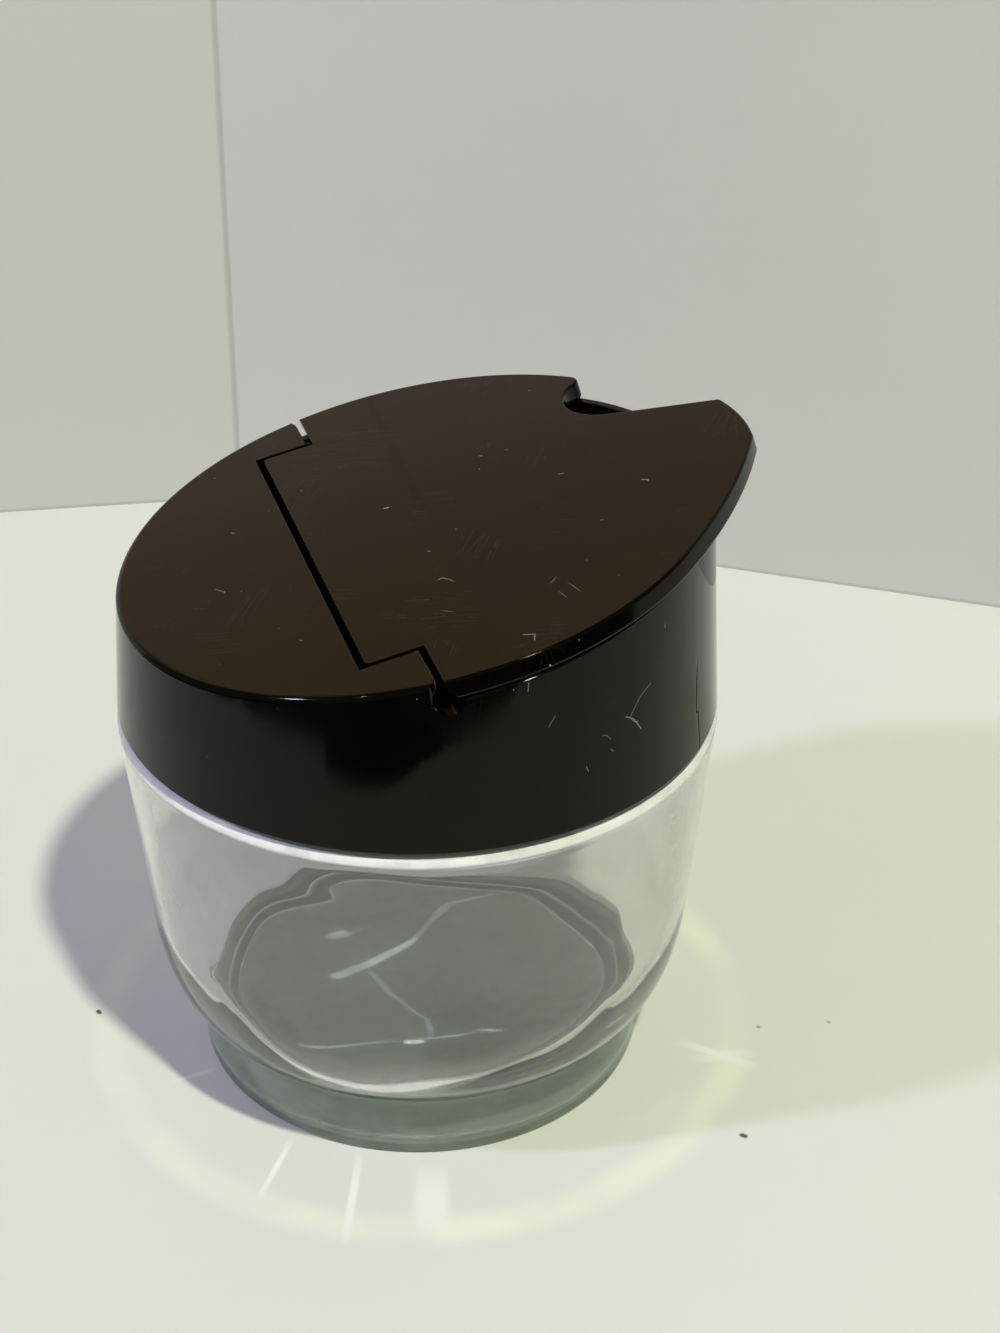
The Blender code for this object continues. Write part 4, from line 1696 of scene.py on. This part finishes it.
        shell = Shell()
        shell.turned(profile, self.sides, relief)
        tool = shell.to_object("cavity")
        depth = self.top.hinge_depth
        carve(tool, self.half_space("deck", depth - self.deck_thickness))
        frame = self.plate("frame", self.hinge_frame(), depth - self.hinge_frame_depth, depth)
        carve(tool, frame)
        carve(tool, self.shelf(chimney))
        return tool

    def shelf(self, reach: float) -> bpy.types.Object:
        """The shelf that closes the rear of the throat, under the hinge.

        Args:
            reach: How far it goes to the sides and to the rear.

        Returns:
            The shelf.
        """
        low = self.seat_underside + self.shelf_set_in
        high = self.seat_underside + self.seat_thickness - self.shelf_set_in
        edge = self.shelf_edge_y
        plan = [(-reach, edge), (reach, edge), (reach, reach), (-reach, reach)]
        shell = Shell()
        shell.solid([shell.loop([(x, JAR_AXIS_Y + y, z) for x, y in plan]) for z in (low, high)])
        return shell.to_object("rear_shelf")

    def hinge_frame(self) -> list[Vector]:
        """The walls below the deck, before the tongue's pocket is cut in them.

        Returns:
            Their outline in plan.
        """
        front = self.ear_front_y + self.ear_wall_set_back
        outside = self.pocket_half_width + self.bearing_wall
        right = [
            Vector((self.radius, front)),
            Vector((self.radius, front + self.ear_wall)),
            Vector((outside, front + self.ear_wall)),
            Vector((outside, self.deck_front_y + self.ear_wall)),
        ]
        return right + mirrored(right)

    def lid_opening(self) -> bpy.types.Object:
        """What the lid's wide part leaves open in the cap's top.

        Returns:
            The tool that cuts it.
        """
        side_x = self.ear_side_x
        beyond = self.opening_reach
        middle = (side_x - self.ear_corner_round, self.ear_front_y + self.ear_corner_round)
        right = arc(middle, self.ear_corner_round, -QUARTER_TURN, 0.0, self.step * 3)
        right += [Vector((side_x, self.deck_front_y)), Vector((beyond, self.deck_front_y))]
        right.append(Vector((beyond, -beyond)))
        plan = mirrored(right) + right
        depth = self.top.hinge_depth
        return self.plate("opening", plan, depth - self.rim_drop, depth + self.overrun)

    def pocket(self) -> bpy.types.Object:
        """The pocket that takes the lid's tongue.

        Returns:
            The tool that cuts it.
        """
        depth = self.top.hinge_depth
        front = self.top.along(self.ear_front_y) - self.overrun
        rear = self.top.along(self.deck_front_y)
        low = depth - self.hinge_frame_depth - self.overcut
        width = self.pocket_half_width
        return self.block("pocket", (-width, front, low), (width, rear, depth + self.overrun))

    def bearings(self) -> bpy.types.Object:
        """The holes that the lid's stubs turn in.

        Returns:
            The tool that cuts them.
        """
        end = self.pocket_half_width + self.bearing_wall + self.overcut
        shell = Shell()
        shell.pin(self.bearing_radius, -end, end, edge=0.0001)
        return shell.place(self.top.frame).to_object("bearings")

    def relief(self) -> bpy.types.Object:
        """The round notch below the near ear's front corner.

        Returns:
            The tool that cuts it.
        """
        y = self.ear_front_y - self.relief_set_forward
        z = self.top.top_height - y * math.tan(self.top.slope) - self.relief_depth
        inner = self.skirt_radius(self.bottom + self.height) - 2 * self.chimney_wall
        shell = Shell()
        shell.pin(self.relief_radius, -self.radius - self.overrun, -inner, edge=0.0001, sides=48)
        return shell.place(Matrix.Translation((0.0, JAR_AXIS_Y + y, z))).to_object("relief")

    def round_edges(self, cap: bpy.types.Object) -> None:
        """Take the sharpness off the edges that show: the rim, the ears and the pocket.

        Args:
            cap: The cap.
        """
        bm = bmesh.new()
        bm.from_mesh(cap.data)
        bmesh.ops.remove_doubles(bm, verts=bm.verts, dist=MERGE_DISTANCE)
        bmesh.ops.dissolve_limit(
            bm, angle_limit=math.radians(0.2), verts=bm.verts, edges=bm.edges, delimit={"NORMAL"}
        )
        to_hinge = self.top.frame.inverted()
        levels = (self.top.hinge_depth, self.top.hinge_depth - self.rim_drop)
        chosen = []
        for edge in bm.edges:
            if len(edge.link_faces) != 2 or edge.calc_face_angle() < self.edge_angle:
                continue
            ends = [to_hinge @ vert.co for vert in edge.verts]
            if any(all(abs(end.z - level) < 0.00001 for end in ends) for level in levels):
                chosen.append(edge)
        bmesh.ops.bevel(
            bm,
            geom=chosen,
            offset=self.edge_round,
            offset_type="OFFSET",
            segments=3,
            profile=0.5,
            affect="EDGES",
            clamp_overlap=False,
        )
        bm.to_mesh(cap.data)
        bm.free()


@dataclass
class FlipLid:
    """The lid: a plate with its tongue, beak and spoon notch, a seating ring and hinge stubs."""

    finish: PlasticFinish
    top: SlopedTop
    radius: float = LID_RADIUS
    thickness: float = 0.0027
    panel: float = 0.0018
    rear_y: float = 0.0072
    heel_round: float = 0.0022
    tongue_half_width: float = 0.029737
    tongue_rear_y: float = 0.0145
    tongue_round: float = 0.0008
    ring_radius: float = 0.037602
    ring_wall: float = 0.0012
    ring_depth: float = 0.0022
    ring_end_y: float = 0.0030
    beak_overhang: float = 0.00605
    beak_tip_half_width: float = 0.0062
    beak_tip_crown: float = 0.0007
    beak_tip_round: float = 0.0010
    beak_flank_radius: float = 0.085
    notch_radius: float = 0.0061
    notch_inset: float = 0.0023
    notch_bearing: float = math.radians(28.3)
    notch_corner_round: float = 0.0018
    notch_set_back: float = 0.0003
    stub_radius: float = 0.0010
    stub_length: float = 0.0028
    knuckle_radius: float = 0.0019
    knuckle_length: float = 0.0070
    knuckle_edge: float = 0.0003
    stub_edge: float = 0.0002
    edge_round: float = 0.00035
    draft: float = math.radians(6.0)
    hinge_edge_round: float = 0.00012
    ring_round: float = 0.00015
    step: float = math.radians(1.5)

    def build(self) -> bpy.types.Object:
        """Build the lid.

        Returns:
            The piece, riding on the lid's body.
        """
        shell = Shell()
        self.add_plate(shell)
        for side in (-1.0, 1.0):
            outer = side * self.tongue_half_width
            knuckle = sorted((outer - side * self.knuckle_length, outer))
            stub = sorted((outer - side * self.stub_length, outer + side * self.stub_length))
            shell.pin(self.knuckle_radius, *knuckle, edge=self.knuckle_edge)
            shell.pin(self.stub_radius, *stub, edge=self.stub_edge, sides=32)
        piece = shell.place(self.top.frame).to_object("flip_lid_plate")
        piece.data.materials.append(self.finish.material())
        smooth(piece)
        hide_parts("flip_lid")
        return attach(piece, "lid")

    @property
    def notch_centre(self) -> Vector:
        """Plan place of the spoon notch's centre."""
        reach = self.radius - self.notch_inset
        return Vector((reach * math.sin(self.notch_bearing), -reach * math.cos(self.notch_bearing)))

    @property
    def beak_reach(self) -> float:
        """How far the beak's tip is from the jar's axis."""
        return self.radius + self.beak_overhang

    @property
    def notch_start(self) -> float:
        """Bearing, from the notch's centre, at which the beak's far edge runs into it.

        Returns:
            The bearing.
        """
        far_corner = Vector((self.beak_tip_half_width, self.beak_tip_crown - self.beak_reach))
        to_notch = self.notch_centre - far_corner
        turn = math.asin(self.notch_radius / to_notch.length)
        return bearing_of(to_notch) + turn + QUARTER_TURN

    def notch_corner_centre(self) -> Vector:
        """Where the round between the notch and the lid's far side is.

        Returns:
            Plan place of its centre.
        """
        centre = self.notch_centre
        from_notch = self.notch_radius + self.notch_corner_round
        from_axis = self.radius - self.notch_corner_round
        along = (centre.length**2 + from_axis**2 - from_notch**2) / (2 * centre.length)
        across = math.sqrt(from_axis**2 - along**2)
        outward = centre.normalized()
        return outward * along + Vector((-outward.y, outward.x)) * across

    def flank(self, tip: Vector) -> tuple[float, list[Vector]]:
        """The beak's near flank, one long arc that leaves the lid's circle smoothly.

        Args:
            tip: The beak's near corner.

        Returns:
            The bearing at which it leaves the circle, and its points.
        """
        extra = self.beak_flank_radius - self.radius
        cosine = (self.beak_flank_radius**2 - tip.length**2 - extra**2) / (2 * extra * tip.length)
        leaving = bearing_of(tip) - math.acos(cosine)
        centre = (-extra * math.cos(leaving), -extra * math.sin(leaving))
        arriving = math.atan2(tip.y - centre[1], tip.x - centre[0])
        return leaving, arc(centre, self.beak_flank_radius, leaving, arriving, self.step / 2)

    def outline(self) -> Outline:
        """The lid seen from above.

        Returns:
            Its outline in plan.
        """
        side_x = math.sqrt(self.radius**2 - self.rear_y**2)
        side_angle = math.atan2(self.rear_y, side_x)
        width = self.tongue_half_width
        tongue = [
            Vector((width, self.rear_y)),
            Vector((width, self.tongue_rear_y)),
            Vector((-width, self.tongue_rear_y)),
            Vector((-width, self.rear_y)),
        ]
        tip_y = self.beak_tip_crown - self.beak_reach
        leaving, flank = self.flank(Vector((-self.beak_tip_half_width, tip_y)))
        near_end = leaving % WHOLE_TURN
        near_side = arc((0.0, 0.0), self.radius, math.pi - side_angle, near_end, self.step)

        half_width, height = self.beak_tip_half_width, self.beak_tip_crown
        crown_radius = (half_width**2 + height**2) / (2 * height)
        half_turn = math.asin(half_width / crown_radius)
        down = -QUARTER_TURN
        crown_centre = (0.0, crown_radius - self.beak_reach)
        crown = arc(crown_centre, crown_radius, down - half_turn, down + half_turn, self.step)

        centre, corner_centre = self.notch_centre, self.notch_corner_centre()
        notch_end = bearing_of(corner_centre - centre)
        notch = arc(tuple(centre), self.notch_radius, self.notch_start, notch_end, self.step * 3)
        far_start, turn = bearing_of(corner_centre), notch_end - math.pi
        corner = arc(
            tuple(corner_centre), self.notch_corner_round, turn, far_start, self.step * 6
        )
        far_side = arc((0.0, 0.0), self.radius, far_start, side_angle, self.step)

        parts = [tongue, near_side, flank[1:], crown[1:], notch, corner[1:], far_side[1:]]
        near_tip = len(tongue) + len(near_side) + len(flank) - 2
        far_tip = near_tip + len(crown) - 1
        radii = {1: self.tongue_round, 2: self.tongue_round}
        radii |= {near_tip: self.beak_tip_round, far_tip: self.beak_tip_round}
        return Outline([point for part in parts for point in part]).rounded(radii, self.step * 6)

    def ring_outline(self) -> Outline:
        """The seating ring's outer side: a disc cut straight at the rear and round the notch.

        Returns:
            Its outline in plan.
        """
        radius = self.ring_radius
        slot = self.notch_radius + self.notch_set_back
        centre, start = self.notch_centre, self.notch_start
        outwards = Vector((-math.sin(start), math.cos(start)))
        first = centre + Vector((math.cos(start), math.sin(start))) * slot
        ahead = first.dot(outwards)
        along = -ahead + math.sqrt(ahead**2 + radius**2 - first.length_squared)
        entry = first + outwards * along
        reach = centre.length
        half_chord = math.acos((reach**2 + slot**2 - radius**2) / (2 * reach * slot))
        leave = bearing_of(-centre) % WHOLE_TURN - half_chord
        slot_edge = arc(tuple(centre), slot, start, leave, self.step * 3)

        rear = math.asin(self.ring_end_y / radius)
        entry_angle = bearing_of(entry) % WHOLE_TURN
        leave_angle = bearing_of(slot_edge[-1]) % WHOLE_TURN
        near = arc((0.0, 0.0), radius, math.pi - rear, entry_angle, self.step)
        far = arc((0.0, 0.0), radius, leave_angle, WHOLE_TURN + rear, self.step)
        return Outline([*near, *slot_edge, *far])

    def add_plate(self, shell: Shell) -> None:
        """Add the plate with its rounded edges, and the ring below it.

        Args:
            shell: The shell to add to, in the hinge's frame.
        """
        outline = self.outline()
        high = self.top.hinge_depth
        low = high - self.thickness

        def rounds(first: Vector, second: Vector) -> tuple[float, float]:
            """Radii of a side's upper and lower edge.

            Args:
                first: One end of the side.
                second: The other.

            Returns:
                The two radii.
            """
            if min(first.y, second.y) < self.rear_y - MERGE_DISTANCE:
                return self.edge_round, self.edge_round
            upper = self.hinge_edge_round
            beside_tongue = max(first.y, second.y) < self.rear_y + MERGE_DISTANCE
            return upper, self.heel_round if beside_tongue else upper

        def moved(height: float) -> list[bmesh.types.BMVert]:
            """The outline's loop at a height, drawn in where the edges are rounded.

            Args:
                height: The height, from the hinge.

            Returns:
                The loop.
            """

            def inset(first: Vector, second: Vector) -> float:
                """How far one side moves in at this height.

                Args:
                    first: One end of the side.
                    second: The other.

                Returns:
                    The distance.
                """
                upper, lower = rounds(first, second)
                lean = (height - low) * math.tan(self.draft) if upper == self.edge_round else 0.0
                from_top = self.drawn_in(high - height, upper)
                return lean + max(from_top, self.drawn_in(height - low, lower))

            return shell.loop(self.top.on_slope(outline.inset(inset), height))

        heights = set()
        counts = {self.edge_round: 4, self.hinge_edge_round: 3, self.heel_round: 7}
        for radius, count in counts.items():
            drops = [radius * (1 - math.sin(t)) for t in quarter_turns(count)]
            heights |= {low + drop for drop in drops}
            heights |= {high - drop for drop in drops if radius < self.heel_round}
        ordered = sorted(heights, reverse=True)
        kept = [ordered[0]] + [b for a, b in zip(ordered, ordered[1:]) if a - b > MERGE_DISTANCE]
        loops = [moved(height) for height in kept]
        shell.stack(loops)
        shell.fill(loops[0])

        ring = self.ring_outline()
        depth = self.thickness + self.ring_depth / 2
        end = low - self.ring_depth
        edge = self.ring_round
        courses = [(0.0, low), (0.0, end + edge), (edge * 0.3, end + edge * 0.3), (edge, end)]
        courses += [(self.ring_wall - edge, end), (self.ring_wall - edge * 0.3, end + edge * 0.3)]
        courses += [(self.ring_wall, end + edge), (self.ring_wall, high - self.panel)]
        walls = []
        for inset, height in courses:
            plan = ring.inset(lambda a, b, inset=inset: inset)
            walls.append(shell.loop(self.top.on_slope(plan, height, depth)))
        shell.stack(walls)
        shell.fill(loops[-1], walls[0])
        shell.fill(walls[-1])

    @staticmethod
    def drawn_in(distance: float, radius: float) -> float:
        """How far a rounded edge draws in.

        Args:
            distance: Distance below the face that the edge leads to.
            radius: The edge's radius.

        Returns:
            The inset, nothing once past the round.
        """
        if distance >= radius:
            return 0.0
        return radius - math.sqrt(max(0.0, radius**2 - (radius - distance) ** 2))


# Studio


@dataclass(frozen=True)
class Lamp:
    """A soft lamp that shines on the jar."""

    name: str
    direction: Place
    colour: Colour
    power: float
    size: float
    distance: float = 1.0

    def add(self) -> None:
        """Put the lamp in the scene."""
        data = bpy.data.lights.new(self.name, "AREA")
        data.shape = "DISK"
        data.size = self.size
        data.energy = self.power
        data.color = self.colour
        data.cycles.is_caustics_light = True
        lamp = bpy.data.objects.new(self.name, data)
        towards = Vector(self.direction).normalized()
        lamp.location = towards * self.distance
        lamp.rotation_euler = towards.to_track_quat("Z", "Y").to_euler()
        show(lamp)


@dataclass(frozen=True)
class Studio:
    """The table, the walls behind it, the lamps and the world."""

    table_colour: Colour = (0.83, 0.83, 0.78)
    table_reach: float = 2.0
    wall_colour: Colour = (0.68, 0.67, 0.65)
    card_colour: Colour = (0.004, 0.004, 0.004)
    card_height: float = 0.002
    world_colour: Colour = (1.0, 0.904, 0.828)
    world_strength: float = 0.135
    wall_height: float = 0.350
    corner: Plan = (0.1765, -0.0056)
    left_end: Plan = (0.2180, 0.3000)
    right_end: Plan = (-0.0300, -0.3150)
    lamps: tuple[Lamp, ...] = (
        Lamp("key_lamp", (-0.45, -0.083, 0.889), (0.963, 1.0, 0.81), 6.5, 0.05),
        Lamp("side_lamp", (-0.07, 0.70, 0.70), (0.635, 0.642, 1.0), 2.9, 0.06),
        Lamp("glint_lamp", (-0.252, 0.524, 0.817), (1.0, 0.97, 0.95), 0.15, 0.015),
    )

    def build(self) -> None:
        """Build everything that isn't part of the jar."""
        reach = self.table_reach
        table = [(-reach, -reach, 0.0), (reach, -reach, 0.0), (reach, reach, 0.0)]
        table.append((-reach, reach, 0.0))
        self.add_sheet("table", table, TableFinish("table_top", self.table_colour))
        wall = WallFinish("wall_paint", self.wall_colour, one_sided=True, corner=self.corner)
        self.add_wall("left_wall", self.corner, self.left_end, wall)
        self.add_wall("right_wall", self.right_end, self.corner, wall)
        for name, corners in self.cards():
            self.add_card(name, corners)
        for lamp in self.lamps:
            lamp.add()
        world = bpy.data.worlds.new("room")
        bpy.context.scene.world = world
        shader = ShaderTree(world)
        inputs = {"Color": (*self.world_colour, 1.0), "Strength": self.world_strength}
        shader.finish(shader.node("ShaderNodeBackground", inputs=inputs))

    def add_wall(self, name: str, start: Plan, end: Plan, finish: StageFinish) -> None:
        """Add an upright wall.

        Args:
            name: Its name.
            start: Plan place of its right end, as the jar sees it.
            end: Plan place of its left end.
            finish: Its finish.
        """
        high = [(*start, self.wall_height), (*end, self.wall_height)]
        low = [(*end, 0.0), (*start, 0.0)]
        self.add_sheet(name, high + low, finish)

    def cards(self) -> list[tuple[str, list[Plan]]]:
        """Dark cards that stand for the room beyond the table's edges, and for a dark patch on the
        table near them.

        Returns:
            Name and plan corners of each.
        """
        near = [(-0.85, -0.80), (-0.20, -0.80), (-0.20, 0.85), (-0.85, 0.85)]
        side = [(-0.1995, 0.185), (0.22, 0.185), (0.22, 0.85), (-0.1995, 0.85)]
        # A dark patch on the table, shown only in the skirt's reflection.
        dark_patch = [(-0.1995, -0.060), (-0.196, -0.040), (-0.192, -0.004), (-0.185, 0.024)]
        dark_patch += [(-0.175, 0.046), (-0.154, 0.075), (-0.141, 0.094), (-0.122, 0.124)]
        dark_patch += [(-0.128, 0.132), (-0.111, 0.152), (-0.078, 0.171), (-0.045, 0.1845)]
        dark_patch.append((-0.1995, 0.1845))
        return [("near_card", near), ("side_card", side), ("dark_patch_card", dark_patch)]

    def add_card(self, name: str, corners: Sequence[Plan]) -> None:
        """Add a dark card just above the table, which only reflections show.

        Args:
            name: Its name.
            corners: Its plan corners.
        """
        places = [(x, y, self.card_height) for x, y in corners]
        card = self.add_sheet(name, places, StageFinish("dark_card", self.card_colour))
        card.visible_camera = False
        card.visible_diffuse = False
        card.visible_transmission = False
        card.visible_shadow = False

    @staticmethod
    def add_sheet(
        name: str, corners: Sequence[Sequence[float]], finish: StageFinish
    ) -> bpy.types.Object:
        """Add one flat face of the stage.

        Args:
            name: Its name.
            corners: Its corners, counter-clockwise from its front.
            finish: Its finish.

        Returns:
            The face.
        """
        mesh = bpy.data.meshes.new(name)
        mesh.from_pydata(corners, [], [tuple(range(len(corners)))])
        mesh.materials.append(finish.material())
        sheet = bpy.data.objects.new(name, mesh)
        sheet.cycles.is_caustics_receiver = True
        show(sheet)
        return sheet


@dataclass(frozen=True)
class Viewpoint:
    """The camera, at the photograph's viewing angle."""

    bearing: float = math.radians(-107.30)
    elevation: float = math.radians(30.576)
    roll: float = math.radians(0.572)
    distance: float = 0.34769
    aside: Plan = (-0.011744, -0.051161)
    lens: float = 62.49
    sensor_width: float = 36.0
    clip_start: float = 0.01

    def add(self) -> None:
        """Put the camera in the scene."""
        a, e = self.bearing, self.elevation
        back = Vector((math.sin(a) * math.cos(e), -math.cos(a) * math.cos(e), math.sin(e)))
        level = Vector((math.cos(a), math.sin(a), 0.0))
        upright = back.cross(level)
        right = math.cos(self.roll) * level + math.sin(self.roll) * upright
        up = math.cos(self.roll) * upright - math.sin(self.roll) * level
        data = bpy.data.cameras.new("camera")
        data.lens = self.lens
        data.sensor_width = self.sensor_width
        data.clip_start = self.clip_start
        camera = bpy.data.objects.new("camera", data)
        place = back * self.distance - right * self.aside[0] - up * self.aside[1]
        place += Vector((0.0, JAR_AXIS_Y, 0.0))
        turn = Matrix((right, up, back)).transposed()
        camera.matrix_world = Matrix.Translation(place) @ turn.to_4x4()
        show(camera)
        bpy.context.scene.camera = camera


# Dust of this jar: lint on the skirt by its way round and height, hairs by their plan places


LINT = (
    Stroke(((-0.0416, 0.0731), (-0.0437, 0.0720), (-0.0454, 0.0700)), 0.00009, 0.26),
    Stroke(((-0.0462, 0.0702), (-0.0449, 0.0694), (-0.0435, 0.0674)), 0.00013, 0.34),
    Stroke(((-0.0455, 0.0698), (-0.0447, 0.0689), (-0.0441, 0.0687)), 0.00011, 0.26),
    Stroke(((-0.0502, 0.0690), (-0.0494, 0.0688), (-0.0488, 0.0680)), 0.00008, 0.21),
    Stroke(((-0.0488, 0.0666), (-0.0484, 0.0662)), 0.00011, 0.26),
    Stroke(((-0.0526, 0.0655), (-0.0523, 0.0647)), 0.00011, 0.26),
    Stroke(((-0.0570, 0.0738), (-0.0579, 0.0725)), 0.00010, 0.21),
    Stroke(((-0.0384, 0.0800), (-0.0385, 0.0796)), 0.00013, 0.34),
    Stroke(((-0.0605, 0.0792), (-0.0606, 0.0780)), 0.00010, 0.30),
)
CAP_HAIRS = (
    Stroke(((0.0121, 0.0251), (0.0118, 0.0249)), 0.00016, 0.24),
    Stroke(((-0.0011, 0.0300), (-0.0025, 0.0290), (-0.0028, 0.0291)), 0.00012, 0.21),
    Stroke(((-0.0196, 0.0229), (-0.0199, 0.0227)), 0.00014, 0.18),
    Stroke(((-0.0298, 0.0152), (-0.0290, 0.0160)), 0.00013, 0.21),
)
LID_HAIRS = (
    Stroke(((0.0056, 0.0055), (0.0054, 0.0050)), 0.00019, 0.48),
    Stroke(((0.0113, -0.0096), (0.0111, -0.0098)), 0.00016, 0.30),
    Stroke(((-0.0084, -0.0258), (-0.0088, -0.0265), (-0.0092, -0.0264)), 0.00013, 0.36),
    Stroke(((-0.0002, -0.0171), (-0.0004, -0.0177)), 0.00014, 0.27),
    Stroke(
        ((-0.0163, 0.0041), (-0.0161, 0.0036), (-0.0170, 0.0029), (-0.0177, 0.0026)), 0.00012, 0.27
    ),
    Stroke(((-0.0087, 0.0034), (-0.0089, 0.0032)), 0.00017, 0.21),
    Stroke(((-0.0243, -0.0090), (-0.0257, -0.0075)), 0.00012, 0.18, tapered=True),
    Stroke(((-0.0262, -0.0096), (-0.0297, -0.0104)), 0.00012, 0.17, tapered=True),
    Stroke(((-0.0275, -0.0080), (-0.0300, -0.0085)), 0.00012, 0.15, tapered=True),
    Stroke(((-0.0364, -0.0022), (-0.0352, -0.0026), (-0.0345, -0.0014)), 0.00013, 0.30),
    Stroke(((-0.0233, 0.0059), (-0.0248, 0.0044)), 0.00010, 0.15, tapered=True),
    Stroke(((-0.0148, -0.0179), (-0.0150, -0.0182)), 0.00014, 0.18),
    Stroke(((0.0107, -0.0130), (0.0105, -0.0133)), 0.00013, 0.18),
)


def main() -> None:
    """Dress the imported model, and build its studio."""
    logging.basicConfig(level=logging.INFO, format="%(message)s")
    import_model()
    top = SlopedTop()
    cap_plastic = PlasticFinish("brown_plastic_of_cap", crack=Crack(), lint=LINT, hairs=CAP_HAIRS)
    lid_plastic = PlasticFinish("brown_plastic_of_lid", hairs=LID_HAIRS)
    for maker in (GlassJar(GlassFinish()), ScrewCap(cap_plastic, top), FlipLid(lid_plastic, top)):
        piece = maker.build()
        LOG.info("%s: %d faces", piece.name, len(piece.data.polygons))
    Studio().build()
    Viewpoint().add()
    bpy.context.scene.view_settings.view_transform = "Standard"


if __name__ == "__main__":
    main()
